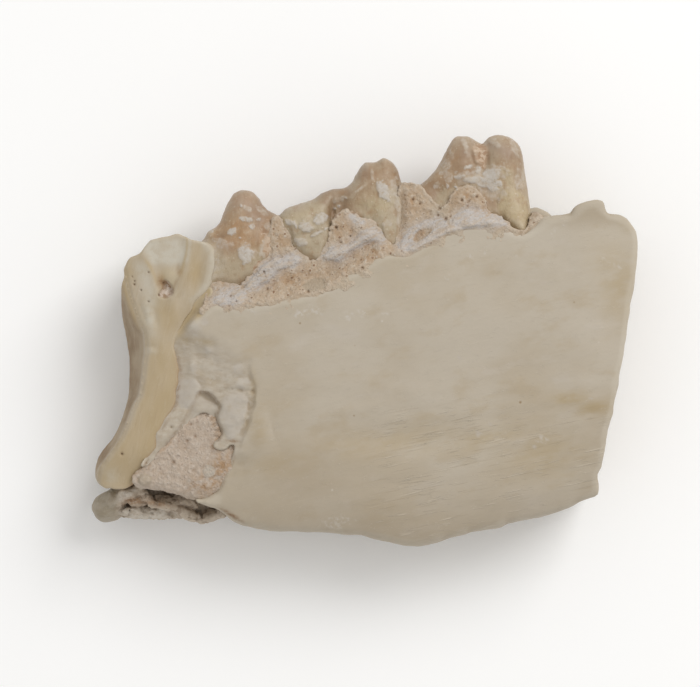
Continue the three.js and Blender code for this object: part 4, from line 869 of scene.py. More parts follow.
def make_matrix():
    g = Grid(axis((-19.6, 0.15), (22, 0.15), 21.6), axis((1.9, 0.15), (19.2, 0.15), 19.0), axis((3.0, 0.34), (10.5, 0.30), (12, 0.14), (16, 0.14), 15.6))
    X, Y, Z = g.X, g.Y, g.Z
    ragged = 0.20 * noise(X * 0.9, Y * 0.9, seed=51) + 0.20 * noise(X * 2.2, Y * 2.2, seed=52) + 0.08 * noise(X * 5, Y * 5, seed=50)
    loop = loop_distance(X, Y, matrix_loop, 3)
    flat = loop + ragged - 0.22 - 0.55 * ease(0.9, -0.2, Y - gum_line(X))
    face = matrix_face(X, Y) - 0.16 * ease(0.7, 0.0, -loop) * ease(0.5, 1.5, Y - gum_line(X))
    body = g.body(flat, face, 3.7, 0.12)
    soft = 1 - 0.7 * np.maximum(chalky(X, Y), ease(0.1, -0.2, loop_distance(X, Y, bare_patch, 3)))

    def crumbs(x, y, z):
        i = np.clip(np.searchsorted(g.x, x), 0, len(g.x) - 1)
        j = np.clip(np.searchsorted(g.y, y), 0, len(g.y) - 1)
        return soft[i, j] * crumbly(x, y, z, 54, 0.46) + (1 - soft[i, j]) * 0.05 * noise(x / 0.5, y / 0.5, z / 0.5, seed=60)
    body = g.rough(body, crumbs, 0.6)
    ob, p, n, hollow = skin("matrix", g, body, ["gum_matrix"], settle=0)
    x, y, z = p.T
    rust = np.zeros(len(x))
    for cx, cy, rx, ry, turn, v in ((-9.6, 12.2, 0.9, 1.6, 10, 0.8), (-2.4, 12.6, 1.6, 1.5, 0, 0.7), (1.0, 10.2, 2.2, 1.2, 25, 0.9),
                                    (5.4, 16.2, 1.0, 1.4, 0, 0.8), (12.0, 16.4, 1.6, 1.0, 0, 1.0), (-8.6, 7.0, 2.6, 0.9, 20, 0.8),
                                    (6.6, 12.3, 1.0, 0.5, 35, 0.9), (-16.6, 6.9, 1.0, 0.5, 20, 0.8), (-2.2, 8.4, 2.0, 0.8, 20, 0.5),
                                    (13.8, 15.2, 1.4, 0.7, 0, 0.8)):
        rust = np.maximum(rust, blob(x, y, cx, cy, v, rx, ry, turn))
    pit = sum(blob(x, y, cx, cy, 1.0, r * 0.9) for cx, cy, r in MATRIX_PITS)
    margin = 0.8 * ease(0.6, -0.4, y - gum_line(x) + 0.35 * noise(x * 1.5, y * 1.5, seed=57))
    bare = np.maximum(ease(0.1, -0.2, loop_distance(x, y, bare_patch, 3)), blob(x, y, 8.7, 14.9, 0.9, 1.0, 1.3, 15))
    mark(ob, chalk=chalky(x, y), rust=rust, pit=np.clip(pit, 0, 1), margin=margin, bare=bare, hollow=np.clip(hollow / 0.06, -1, 1))
    return ob


PLUG_PITS = ((-19.4, -10.9, 0.20), (-20.3, -11.4, 0.22), (-21.9, -13.9, 0.26), (-18.2, -16.9, 0.10), (-19.9, -9.5, 0.16),
             (-19.1, -9.2, 0.13), (-21.4, -13.2, 0.12), (-19.9, -14.0, 0.08))


def make_plug():
    g = Grid(axis((-27.4, 0.13), (-13, 0.13), -13.7), axis((-19.4, 0.13), (-6, 0.13), -7.2), axis((3.2, 0.34), (9.5, 0.26), (10.8, 0.13), (14, 0.13), 13.6))
    X, Y, Z = g.X, g.Y, g.Z
    flat = loop_distance(X, Y, plug_loop) - 0.15 + 0.12 * noise(X * 1.3, Y * 1.3, seed=61) + 0.10 * noise(X * 3.2, Y * 3.2, seed=62)
    face = PLUG_FACE + 0.05 * (X + 20) - 0.7 * ease(-15.0, -18.2, Y) ** 2 + 0.18 * noise(X / 2.4, Y / 2.4, seed=63)
    face = face - 0.35 * ease(-9.3, -8.0, Y) - 0.12 * ease(-17.1, -16.6, X) * ease(-12.6, -12.1, Y) * ease(-10.9, -11.3, Y)
    spot = ease(0.74, 0.62, np.hypot(X + 17.8, (Y + 14.9) * 1.12) + 0.12 * noise(X * 1.3, Y * 1.3, seed=66))
    face = lerp(face, PLUG_FACE + 0.20, spot)
    for cx, cy, r in PLUG_PITS:
        face = face - blob(X, Y, cx, cy, 0.8 * r, r, 0.7 * r, 140 * cx)
    # short grooves across the upper right rim
    rim = loop_distance(X, Y, plug_loop)
    along = np.arctan2(Y + 10.4, X + 19.4)
    face = face - 0.16 * ease(0.0, 0.8, np.sin(21 * along)) * ease(-1.1, -0.3, rim) * ease(-0.5, 0.1, along) * ease(1.5, 0.9, along)
    face = face + 0.5 * ease(0.9, 0.5, np.hypot((X + 25.2) / 0.9, (Y + 15.9) / 0.8)) * 0.4
    body = g.body(flat, face, 4.05, 0.22 + 0.5 * ease(-15.6, -17.6, Y))

    def crumbs(x, y, z):
        near = ease(0.85, 0.7, np.hypot(x + 17.8, y + 14.9)) * ease(11, 12, z)
        return (1 - 0.95 * near) * crumbly(x, y, z, 64, 0.40, 0.02)
    body = g.rough(body, crumbs, 0.6)
    ob, p, n, hollow = skin("plug", g, body, ["end_plug"], settle=0)
    x, y, z = p.T
    rust = 0.9 * ease(0.9, 0.0, -loop_distance(x, y, plug_loop)) * ease(-20.5, -18, x)
    rust = np.maximum(rust, 0.9 * ease(0.35, 0.0, -loop_distance(x, y, plug_loop)) * ease(-16.0, -15.0, y))
    rust = np.maximum(rust, blob(x, y, -16.4, -14.4, 1, 1.3, 2.0, -20))
    rust = np.maximum(rust, blob(x, y, -18.2, -16.4, 1.0, 1.9, 1.3))
    rust = np.maximum(rust, blob(x, y, -24.6, -14.8, 0.5, 0.8, 0.8))
    pit = sum(blob(x, y, cx, cy, 0.7, r) for cx, cy, r in PLUG_PITS)
    pebble = ease(1.1, 0.8, np.hypot((x + 25.2) / 0.9, (y + 15.9) / 0.8))
    mark(ob, chalk=ease(0.78, 0.68, np.hypot(x + 17.8, y + 14.9)) * ease(11.5, 12.1, z), rust=rust, pit=np.clip(pit, 0, 1),
         margin=0.0, bare=np.maximum(pebble, ease(-17.0, -18.3, y + 0.3 * noise(x, y, seed=68)) * 0.5), hollow=np.clip(hollow / 0.06, -1, 1))
    return ob


def make_crust():
    g = uniform((-33.0, -22.3, 0.5), (-15.0, -14.9, 12.2), 0.14)
    X, Y, Z = g.X[:, :, None] + 0 * g.Z, g.Y[:, :, None] + 0 * g.Z, g.Z + 0 * g.X[:, :, None].astype(np.float32)
    X, Y, Z = X.astype(np.float32), Y.astype(np.float32), Z.astype(np.float32)

    def chip(c, r, turn=0.0, tip=0.0, square=2.0):
        t, q = math.radians(turn), math.radians(tip)
        dx, dy, dz = X - c[0], Y - c[1], Z - c[2]
        u, v = dx * math.cos(t) + dy * math.sin(t), -dx * math.sin(t) + dy * math.cos(t)
        u, w = u * math.cos(q) + dz * math.sin(q), -u * math.sin(q) + dz * math.cos(q)
        k = (np.abs(u / r[0]) ** square + np.abs(v / r[1]) ** square + np.abs(w / r[2]) ** square) ** (1 / square)
        return (k - 1) * min(r)
    body = chip((-23.2, -18.2, 4.4), (6.6, 1.9, 2.6), -6)
    for c, r, turn, tip, square in (
            ((-29.6, -19.2, 4.6), (2.2, 1.75, 3.0), 25, 0, 2.2), ((-28.7, -18.2, 6.0), (1.9, 1.2, 2.4), 20, 0, 2),      # smooth lobe
            ((-28.3, -18.1, 8.0), (1.75, 0.42, 0.4), 26, 4, 2.6), ((-25.5, -16.3, 8.6), (0.85, 0.75, 2.6), 10, 0, 2.2),   # pale flap, bump
            ((-26.4, -18.4, 6.9), (1.4, 0.8, 1.5), -10, 0, 2), ((-25.0, -19.9, 5.2), (3.8, 0.75, 2.2), -2, 0, 2.8),      # grit, lower plate
            ((-27.0, -17.4, 7.4), (1.6, 0.9, 1.9), 15, 0, 2.2),
            ((-25.2, -17.9, 8.6), (1.6, 0.42, 0.8), -48, 0, 2.5), ((-23.2, -18.95, 8.2), (1.9, 0.5, 1.1), -6, 0, 2.6),     # curled rim
            ((-20.7, -19.9, 7.0), (1.7, 0.7, 2.0), -28, 0, 2.4), ((-18.2, -20.3, 5.0), (1.7, 0.8, 2.0), 12, 0, 2.2),
            ((-16.6, -19.8, 5.0), (0.7, 0.8, 2.4), 0, 0, 2.2), ((-22.3, -18.9, 7.0), (2.6, 0.9, 1.6), -12, 0, 2.2),
            ((-20.6, -18.6, 6.6), (1.6, 0.8, 2.0), -25, 0, 2.2)):
        body = either(body, chip(c, r, turn, tip, square), 0.12)
    body = less(body, chip((-18.3, -19.7, 8.0), (1.3, 0.42, 2.0), -4), 0.2)
    body = less(body, chip((-22.4, -17.85, 10.2), (2.6, 0.30, 1.5), -14), 0.2)
    body = either(body, chip((-18.5, -19.2, 2.6), (2.8, 1.5, 1.7)), 0.1)
    lobe = np.exp(-((g.X + 30.3) / 1.7) ** 4)

    def crumbs(x, y, z):
        smooth = np.exp(-((x + 30.4) / 1.7) ** 4)
        return (1 - 0.9 * smooth) * (1.0 * crumbly(x, y, z, 75, 0.46) + 0.08 * fbm(x / 0.9, y / 0.6, z / 0.7, seed=71, octaves=2)) \
            + smooth * 0.10 * noise(x / 1.4, y / 1.4, z / 1.4, seed=72)
    body = g.rough(body, crumbs, 0.7)
    ob, p, n, hollow = skin("crust", g, body, ["end_crust"], settle=0)
    x, y, z = p.T
    smooth = ease(-28.2, -29.2, x + 0.4 * noise(x, y, z, seed=73))
    pale = np.maximum(spots(x, y, [(-28.3, -18.1, 1.9, 0.55, 26), (-25.4, -20.0, 3.4, 0.7, -2)], 77, 0.3) * ease(3.4, 4.2, z), 0.5 * blob(x, y, -25.5, -16.3, 1, 1.0, 0.9))
    rust = np.maximum(blob(x, y, -26.6, -18.5, 1.0, 1.3, 0.5), 0.9 * blob(x, y, -24.2, -18.7, 1, 1.6, 0.4, -10))
    # dark marks the band under the plug and the hole under the bone's lip: painted shade
    dark = np.maximum(blob(x, y, -22.2, -17.8, 1.0, 3.2, 0.45, -12), blob(x, y, -18.4, -19.7, 1.0, 1.6, 0.6))
    mark(ob, lobe=smooth, pale=pale, rust=rust, dark=dark, hollow=np.clip(hollow / 0.08, -1, 1))
    return ob


bone = make_bone()
stump = make_stump()
crown_front = make_crown("crown_front", front_top, front_low, (-19.6, -9.2), relief_front, 1.9, 0.10, FRONT_CHALK, FRONT_BLOOM, 71)
crown_middle = make_crown("crown_middle", middle_top, middle_low, (-10.3, 5.5), relief_middle, 1.7, 0.08, MIDDLE_CHALK, MIDDLE_BLOOM, 73)
crown_rear = make_crown("crown_rear", rear_top, rear_low, (5.0, 19.35), relief_rear, 1.9, 0.07, REAR_CHALK, REAR_BLOOM, 75)
matrix = make_matrix()
plug = make_plug()
crust = make_crust()


# ------------------------------------------------------------------ materials
def srgb(r, g, b):
    """A colour as seen on a screen, 0 to 255, as light, without its share of gloss."""
    lin = [c / 255 / 12.92 if c <= 10 else ((c / 255 + 0.055) / 1.055) ** 2.4 for c in (r, g, b)]
    return tuple(max(c / 1.03 - 0.018, 0.004) for c in lin)


class Look:
    """A node material. Its patterns are in millimetres of the object."""

    def __init__(self, name, **fixed):
        self.material = bpy.data.materials.new(name)
        self.material.use_nodes = True
        self.tree = self.material.node_tree
        self.shader = self.tree.nodes["Principled BSDF"]
        for key, v in fixed.items():
            self.shader.inputs[key.replace("_", " ")].default_value = v
        coord = self.tree.nodes.new("ShaderNodeTexCoord")
        self.mm = self.node("ShaderNodeVectorMath", {"Vector": coord.outputs["Object"], "Scale": 1000.0}, operation="SCALE").outputs["Vector"]
        self.normal = None

    def node(self, kind, inputs=None, **props):
        n = self.tree.nodes.new(kind)
        for key, v in props.items():
            setattr(n, key, v)
        for key, v in (inputs or {}).items():
            if isinstance(v, bpy.types.NodeSocket):
                self.tree.links.new(v, n.inputs[key])
            elif v is not None:
                n.inputs[key].default_value = v
        return n

    def math(self, op, a, b=0.0, clamp=False):
        return self.node("ShaderNodeMath", {0: a, 1: b}, operation=op, use_clamp=clamp).outputs[0]

    def add(self, *terms):
        out = terms[0]
        for t in terms[1:]:
            out = self.math("ADD", out, t)
        return out

    def mul(self, *terms):
        out = terms[0]
        for t in terms[1:]:
            out = self.math("MULTIPLY", out, t)
        return out

    def most(self, *terms):
        out = terms[0]
        for t in terms[1:]:
            out = self.math("MAXIMUM", out, t)
        return out

    def inv(self, a):
        return self.math("SUBTRACT", 1.0, a, clamp=True)

    def range(self, v, lo, hi, out_lo=0.0, out_hi=1.0, smooth=True):
        n = self.node("ShaderNodeMapRange", {"Value": v, "From Min": lo, "From Max": hi, "To Min": out_lo, "To Max": out_hi})
        n.interpolation_type = "SMOOTHSTEP" if smooth else "LINEAR"
        return n.outputs["Result"]

    def place(self, size, turn=0.0, shift=0.0):
        """Coordinates with one unit per size (mm), turned about Z."""
        size = (size,) * 3 if not isinstance(size, tuple) else size
        turned = self.node("ShaderNodeMapping", {"Vector": self.mm, "Rotation": (0, 0, math.radians(-turn)), "Location": (shift, shift * 0.7, shift * 1.3)})
        return self.node("ShaderNodeMapping", {"Vector": turned.outputs[0], "Scale": tuple(1 / s for s in size)}).outputs[0]

    def noise(self, size, detail=2.0, rough=0.5, turn=0.0, shift=0.0, wobble=0.0):
        return self.node("ShaderNodeTexNoise", {"Vector": self.place(size, turn, shift), "Scale": 1.0, "Detail": detail,
                                                "Roughness": rough, "Distortion": wobble}).outputs["Fac"]

    def cells(self, size, turn=0.0, shift=0.0, feature="F1"):
        n = self.node("ShaderNodeTexVoronoi", {"Vector": self.place(size, turn, shift), "Scale": 1.0}, feature=feature)
        return n.outputs["Distance"], (n.outputs["Color"] if feature == "F1" else None)

    def own(self, colour):
        return self.node("ShaderNodeSeparateColor", {"Color": colour}).outputs[0]

    def lines(self, size, width, turn=0.0, shift=0.0, level=0.5, detail=3.0):
        """Thin wandering lines, where a noise passes through a level."""
        n = self.noise(size, detail, 0.55, turn, shift)
        off = self.math("ABSOLUTE", self.math("SUBTRACT", n, level))
        return self.range(off, width, 0.0)

    def mark(self, name):
        return self.node("ShaderNodeAttribute", attribute_name=name).outputs["Fac"]

    def blend(self, amount, a, b, kind="MIX"):
        n = self.node("ShaderNodeMix", data_type="RGBA", blend_type=kind, clamp_factor=True)
        for index, v in ((0, amount), (6, a), (7, b)):
            if isinstance(v, bpy.types.NodeSocket):
                self.tree.links.new(v, n.inputs[index])
            elif index:
                n.inputs[index].default_value = (*v, 1) if len(v) == 3 else v
            else:
                n.inputs[index].default_value = v
        return n.outputs[2]

    def tint(self, colour, value, low, high):
        """The colour made darker or lighter by a value from 0 to 1."""
        return self.node("ShaderNodeHueSaturation", {"Color": colour, "Value": self.range(value, 0.0, 1.0, low, high, False)}).outputs[0]

    def bump(self, height, millimetres, strength=1.0):
        inputs = {"Strength": strength, "Distance": millimetres * MM, "Height": height}
        if self.normal is not None:
            inputs["Normal"] = self.normal
        self.normal = self.node("ShaderNodeBump", inputs).outputs["Normal"]

    def done(self, colour, roughness):
        self.tree.links.new(colour, self.shader.inputs["Base Color"])
        self.tree.links.new(roughness, self.shader.inputs["Roughness"])
        if self.normal is not None:
            self.tree.links.new(self.normal, self.shader.inputs["Normal"])
        return self.material


def bone_look():
    k = Look("bone_look", Specular_IOR_Level=0.35)
    chalk, stain, rust, amber, low = k.mark("chalk"), k.mark("stain"), k.mark("rust"), k.mark("amber"), k.mark("low")
    hollow, shade, sponge = k.mark("hollow"), k.mark("shade"), k.mark("sponge")
    bloom, scratched, flaked = k.mark("bloom"), k.mark("scratched"), k.mark("flaked")
    broad = k.noise((11, 8, 11), 3, 0.5, 12, 3)
    cloud = k.noise((5.0, 2.6, 5.0), 4, 0.55, 10, 11)
    grain = k.noise((0.8, 0.35, 0.6), 4, 0.55, 8, 5)
    fine = k.noise(0.16, 3, 0.6, 0, 7)
    colour = k.blend(k.range(broad, 0.35, 0.65), srgb(186, 176, 160), srgb(180, 168, 149))
    colour = k.blend(k.mul(k.range(cloud, 0.52, 0.72), 0.55), colour, srgb(175, 160, 136))
    colour = k.blend(k.mul(k.range(cloud, 0.45, 0.28), 0.45), colour, srgb(190, 181, 168))
    colour = k.blend(k.mul(stain, k.range(k.noise((2.4, 1.1, 2), 4, 0.55, 10, 21), 0.3, 0.62, 0.35, 1.0)), colour, srgb(170, 151, 117))
    colour = k.blend(k.mul(low, 0.55), colour, srgb(165, 151, 130))
    # weathered streaks with the grain of the bone
    reach = k.range(scratched, 0.0, 1.0, 0.12, 1.0)
    streak = k.range(k.noise((3.6, 0.22, 3.0), 1.5, 0.5, 13, 2, 0.4), 0.60, 0.70)
    streak2 = k.range(k.noise((2.4, 0.16, 2.0), 1.5, 0.5, 9, 31, 0.4), 0.62, 0.72)
    where = k.range(k.noise((5, 1.6, 5), 2, 0.5, 12, 9), 0.42, 0.60)
    streaks = k.mul(k.most(streak, streak2), where, reach)
    colour = k.blend(k.mul(streaks, 0.50), colour, srgb(198, 187, 169))
    dark = k.mul(k.range(k.noise((4.2, 0.24, 3.0), 1.5, 0.5, 12, 51, 0.3), 0.60, 0.72), reach)
    colour = k.blend(k.mul(dark, 0.20), colour, srgb(158, 141, 117))
    scratch = k.mul(k.lines((1.7, 0.55, 1.2), 0.014, 14, 87, 0.5, 2), k.range(k.noise((1.6, 0.9, 1.2), 3, 0.6, 12, 97), 0.48, 0.60))
    colour = k.blend(k.mul(scratch, 0.30), colour, srgb(200, 190, 173))
    # light flecks and a few small brown ones
    dist, cell = k.cells(1.9, 0, 13)
    fleck = k.mul(k.range(dist, 0.10, 0.04), k.range(k.own(cell), 0.86, 0.9))
    colour = k.blend(k.mul(fleck, 0.5), colour, srgb(204, 197, 185))
    cloudy = k.mul(bloom, k.range(k.noise(0.5, 4, 0.65, 0, 17), 0.42, 0.62))
    colour = k.blend(k.mul(cloudy, 0.75), colour, srgb(197, 190, 180))
    veins = k.mul(flaked, k.range(k.noise((1.2, 0.5, 0.8), 5, 0.62, -10, 19), 0.38, 0.66))
    colour = k.blend(k.mul(veins, 0.5), colour, srgb(160, 142, 118))
    milk = k.mul(flaked, k.range(k.noise((0.9, 0.7, 0.8), 5, 0.62, 10, 23), 0.5, 0.72))
    colour = k.blend(k.mul(milk, 0.55), colour, srgb(198, 190, 177))
    dist, cell = k.cells(2.1, 0, 43)
    colour = k.blend(k.mul(k.range(dist, 0.10, 0.03), k.range(k.own(cell), 0.84, 0.88), 0.8), colour, srgb(143, 120, 92))
    colour = k.blend(k.mul(amber, k.range(k.noise((3, 2, 3), 3, 0.5, 30, 61), 0.3, 0.7, 0.55, 1.0)), colour, srgb(181, 162, 128))
    colour = k.blend(k.mul(chalk, k.range(k.noise(0.9, 4, 0.6, 0, 71), 0.25, 0.6, 0.45, 1.0)), colour, srgb(187, 179, 168))
    colour = k.blend(k.mul(rust, k.range(k.noise(0.45, 3, 0.6, 0, 81), 0.35, 0.6, 0.3, 1.0)), colour, srgb(128, 98, 70))
    spongy = k.range(k.cells(0.42, 0, 91)[0], 0.15, 0.5)
    colour = k.blend(sponge, colour, k.blend(spongy, srgb(120, 96, 70), srgb(168, 148, 118)))
    colour = k.blend(k.mul(shade, 0.45), colour, srgb(152, 136, 118))
    # painted shade in hollows and a painted highlight on bumps, from the hollow mark
    colour = k.blend(k.range(hollow, 0.25, 1.0, 0.0, 0.45), colour, srgb(142, 122, 96))
    colour = k.blend(k.range(hollow, -0.3, -1.0, 0.0, 0.28), colour, srgb(200, 192, 177))
    colour = k.tint(colour, k.add(k.mul(grain, 0.6), k.mul(fine, 0.4)), 0.94, 1.06)
    rough = k.add(k.range(grain, 0.3, 0.7, 0.52, 0.66), k.mul(chalk, 0.2), k.mul(stain, -0.08), k.mul(sponge, 0.2))
    k.bump(k.add(k.mul(streaks, 0.9), k.mul(dark, -0.3), k.mul(scratch, 0.25)), 0.07, 0.7)
    k.bump(k.add(k.mul(grain, 0.3), k.mul(fine, 0.4), k.mul(fleck, 0.3)), 0.04, 0.5)
    return k.done(colour, rough)


def dentine_look():
    k = Look("dentine_look", Specular_IOR_Level=0.4)
    flank, chalk, gold, rust, tan = (k.mark(v) for v in ("flank", "chalk", "gold", "rust", "tan"))
    grit, sliver, pit, hollow = (k.mark(v) for v in ("grit", "sliver", "pit", "hollow"))
    broad = k.noise((3.2, 6.5, 4), 3, 0.5, -14, 4)
    fibre = k.noise((0.35, 3.0, 0.5), 4, 0.6, -14, 8)
    fine = k.noise(0.14, 3, 0.6, 0, 12)
    colour = k.blend(k.range(broad, 0.35, 0.65), srgb(184, 171, 151), srgb(173, 157, 131))
    colour = k.blend(k.mul(gold, 0.85), colour, srgb(178, 157, 120))
    colour = k.blend(k.mul(k.range(fibre, 0.5, 0.75), 0.4), colour, srgb(160, 141, 114))
    lines = k.lines((0.9, 5.0, 0.9), 0.03, -14, 22, 0.5, 3)
    colour = k.blend(k.mul(lines, 0.12), colour, srgb(196, 184, 163))
    # the flank beyond the lit edge turns a darker brown: partly the root's own brown, partly painted shade on the side
    # turned from the light
    dark = k.blend(k.range(k.noise((2.6, 3.4, 3.0), 3, 0.5, -14, 31), 0.35, 0.65), srgb(141, 119, 93), srgb(166, 149, 125))
    colour = k.blend(flank, colour, dark)
    colour = k.blend(k.mul(sliver, 0.9), colour, srgb(186, 165, 128))
    colour = k.blend(k.mul(tan, k.range(k.noise(0.7, 3, 0.5, 0, 41), 0.3, 0.65, 0.6, 1.0)), colour, srgb(186, 172, 146))
    colour = k.blend(k.mul(chalk, k.range(k.noise(0.8, 4, 0.6, 0, 51), 0.25, 0.6, 0.5, 1.0)), colour, srgb(196, 190, 176))
    near, cell = k.cells(0.33, 0, 61)
    sandy = k.blend(k.range(k.own(cell), 0.2, 0.8), srgb(166, 142, 120), srgb(208, 195, 182))
    colour = k.blend(grit, colour, sandy)
    colour = k.blend(k.mul(rust, k.range(k.noise(0.3, 3, 0.6, 0, 71), 0.3, 0.6, 0.45, 1.0)), colour, srgb(146, 112, 78))
    colour = k.blend(k.mul(pit, 0.85), colour, srgb(94, 66, 46))
    # painted shade in hollows and a painted highlight on bumps, from the hollow mark
    colour = k.blend(k.range(hollow, 0.4, 1.4, 0.0, 0.4), colour, srgb(146, 122, 92))
    colour = k.blend(k.range(hollow, -0.3, -1.0, 0.0, 0.10), colour, srgb(202, 192, 174))
    colour = k.tint(colour, k.add(k.mul(fibre, 0.6), k.mul(fine, 0.4)), 0.92, 1.08)
    rough = k.add(k.range(fibre, 0.3, 0.7, 0.42, 0.58), k.mul(chalk, 0.2), k.mul(flank, 0.12))
    k.bump(k.mul(k.add(fibre, k.mul(lines, 0.3)), k.range(flank, 0.0, 1.0, 1.0, 0.3)), 0.04, 0.5)
    k.bump(fine, 0.04, 0.5)
    return k.done(colour, rough)


def enamel_look(name, top, base, seed):
    k = Look(name, Specular_IOR_Level=0.5)
    chalk, bloom, amber, dark, olive, grit, gold, grape, hollow = (k.mark(v) for v in
        ("chalk", "bloom", "amber", "dark", "olive", "grit", "gold", "grape", "hollow"))
    broad = k.noise((2.6, 3.2, 3), 3, 0.55, 0, seed)
    craze = k.noise((0.30, 1.3, 0.5), 4, 0.6, 8, seed + 5)
    fine = k.noise(0.14, 3, 0.6, 0, seed + 9)
    colour = k.blend(k.range(broad, 0.3, 0.7), tuple(1.04 * c for c in base), tuple(0.95 * c for c in base))
    colour = k.blend(k.mul(amber, k.range(k.noise((1.6, 2.0, 1.6), 4, 0.6, 0, seed + 3), 0.3, 0.6, 0.6, 1.0)), colour, top)
    colour = k.blend(k.mul(olive, 0.8), colour, srgb(173, 158, 133))
    colour = k.blend(k.mul(gold, 0.9), colour, srgb(181, 164, 132))
    colour = k.blend(k.mul(k.range(k.noise((1.1, 1.5, 1.2), 4, 0.6, 0, seed + 15), 0.50, 0.66), 0.6), colour, srgb(158, 129, 98))
    colour = k.blend(k.mul(k.range(k.noise((0.9, 1.3, 1.0), 4, 0.6, 0, seed + 17), 0.54, 0.72), 0.5), colour, srgb(182, 163, 139))
    dist, cell = k.cells(0.75, 20, seed + 19)
    flecks = k.mul(k.range(dist, 0.22, 0.10), k.range(k.own(cell), 0.74, 0.78), amber)
    colour = k.blend(k.mul(flecks, 0.7), colour, srgb(204, 190, 168))
    dist, cell = k.cells(0.42, 35, seed + 23)
    dust = k.mul(k.range(dist, 0.30, 0.12), k.range(k.own(cell), 0.70, 0.74), k.range(k.noise(1.4, 3, 0.6, 0, seed + 27), 0.36, 0.56))
    colour = k.blend(k.mul(dust, 0.65), colour, srgb(203, 190, 170))
    mottle = k.noise((0.5, 0.65, 0.6), 5, 0.7, 15, seed + 29)
    colour = k.blend(k.range(mottle, 0.5, 0.72, 0.0, 0.45), colour, srgb(188, 172, 150))
    colour = k.blend(k.range(mottle, 0.48, 0.30, 0.0, 0.35), colour, srgb(143, 114, 85))
    colour = k.blend(k.mul(grape, 0.6), colour, srgb(162, 143, 127))
    colour = k.blend(k.mul(dark, 0.62), colour, srgb(138, 110, 84))
    cracks = k.lines((0.8, 3.2, 1.0), 0.018, 6, seed + 21, 0.5, 3)
    colour = k.blend(k.mul(cracks, 0.3), colour, srgb(139, 112, 86))
    colour = k.blend(k.mul(bloom, k.range(k.noise(0.7, 4, 0.65, 0, seed + 25), 0.35, 0.7, 0.15, 0.75)), colour, srgb(190, 180, 167))
    cover = k.range(k.noise(0.42, 4, 0.68, 0, seed + 31), 0.28, 0.6, 0.25, 1.0)
    colour = k.blend(k.mul(chalk, cover), colour, srgb(191, 184, 175))
    near, cell = k.cells(0.36, 0, seed + 37)
    sandy = k.blend(k.range(k.own(cell), 0.15, 0.85), srgb(164, 136, 111), srgb(192, 171, 149))
    colour = k.blend(grit, colour, sandy)
    # painted shade in hollows and a painted highlight on bumps, from the hollow mark
    colour = k.blend(k.range(hollow, 0.4, 1.3, 0.0, 0.4), colour, srgb(138, 110, 84))
    colour = k.blend(k.range(hollow, -0.35, -1.0, 0.0, 0.25), colour, srgb(192, 179, 160))
    colour = k.tint(colour, k.add(k.mul(craze, 0.6), k.mul(fine, 0.4)), 0.92, 1.08)
    rough = k.add(k.range(craze, 0.3, 0.7, 0.34, 0.5), k.mul(chalk, 0.4), k.mul(bloom, 0.15), k.mul(grit, 0.4))
    k.bump(k.add(k.mul(craze, 0.6), k.mul(cracks, -0.3)), 0.05, 0.6)
    k.bump(k.add(fine, k.mul(chalk, cover, 0.6), k.mul(flecks, 0.5)), 0.06, 0.7)
    return k.done(colour, rough)


def sediment_look(name, seed, light, mid, deep, dots, white):
    k = Look(name, Specular_IOR_Level=0.2)
    chalk, rust, pit, margin, bare, hollow = (k.mark(v) for v in ("chalk", "rust", "pit", "margin", "bare", "hollow"))
    near, cell = k.cells(0.42, 0, seed)
    own = k.own(cell)
    broad = k.noise(2.2, 3, 0.5, 0, seed + 3)
    speck = k.noise(0.22, 4, 0.65, 0, seed + 7)
    colour = k.blend(k.range(own, 0.0, 1.0), mid, light)
    colour = k.blend(k.mul(k.range(broad, 0.5, 0.7), 0.55), colour, deep)
    colour = k.blend(k.mul(k.range(near, 0.35, 0.6), 0.35), colour, deep)
    colour = k.blend(k.mul(rust, k.range(k.noise(0.8, 4, 0.6, 0, seed + 11), 0.4, 0.62)), colour, srgb(172, 143, 114))
    grains_dark = k.mul(k.range(own, 0.88, 0.90), k.range(near, 0.4, 0.25))
    colour = k.blend(k.mul(grains_dark, min(1.0, 1.4 * dots)), colour, srgb(138, 106, 82))
    dist2, cell2 = k.cells(0.24, 30, seed + 29)
    specks = k.mul(k.range(k.own(cell2), 0.86, 0.90), k.range(dist2, 0.45, 0.25), k.inv(k.mul(chalk, 0.7)))
    colour = k.blend(k.mul(specks, dots), colour, srgb(148, 120, 96))
    grains_light = k.mul(k.range(own, 0.10, 0.06), k.range(near, 0.42, 0.25))
    colour = k.blend(k.mul(grains_light, 0.5), colour, srgb(203, 193, 180))
    colour = k.blend(k.mul(bare, 0.65), colour, srgb(172, 159, 140))
    colour = k.blend(k.mul(margin, 0.75), colour, srgb(190, 177, 158))
    cover = k.range(k.noise((1.0, 0.34, 0.6), 5, 0.72, 28, seed + 21), 0.34, 0.60, 0.22, 1.0)
    colour = k.blend(k.mul(chalk, cover), colour, white)
    colour = k.blend(k.mul(pit, 0.6), colour, srgb(122, 92, 70))
    # painted shade in hollows, weaker at the margin, and a painted highlight on bumps, from the hollow mark
    colour = k.blend(k.mul(k.range(hollow, 0.3, 1.4, 0.0, 0.40), k.range(margin, 0.0, 1.0, 1.0, 0.4)), colour, srgb(146, 119, 95))
    colour = k.blend(k.range(hollow, -0.3, -1.2, 0.0, 0.30), colour, srgb(208, 196, 181))
    colour = k.tint(colour, speck, 0.82, 1.18)
    rough = k.range(k.add(k.mul(speck, 0.5), k.mul(own, 0.5)), 0.2, 0.8, 0.82, 0.97)
    k.bump(k.range(near, 0.55, 0.1), 0.10, 0.5)
    k.bump(speck, 0.16, 0.9)
    return k.done(colour, rough)


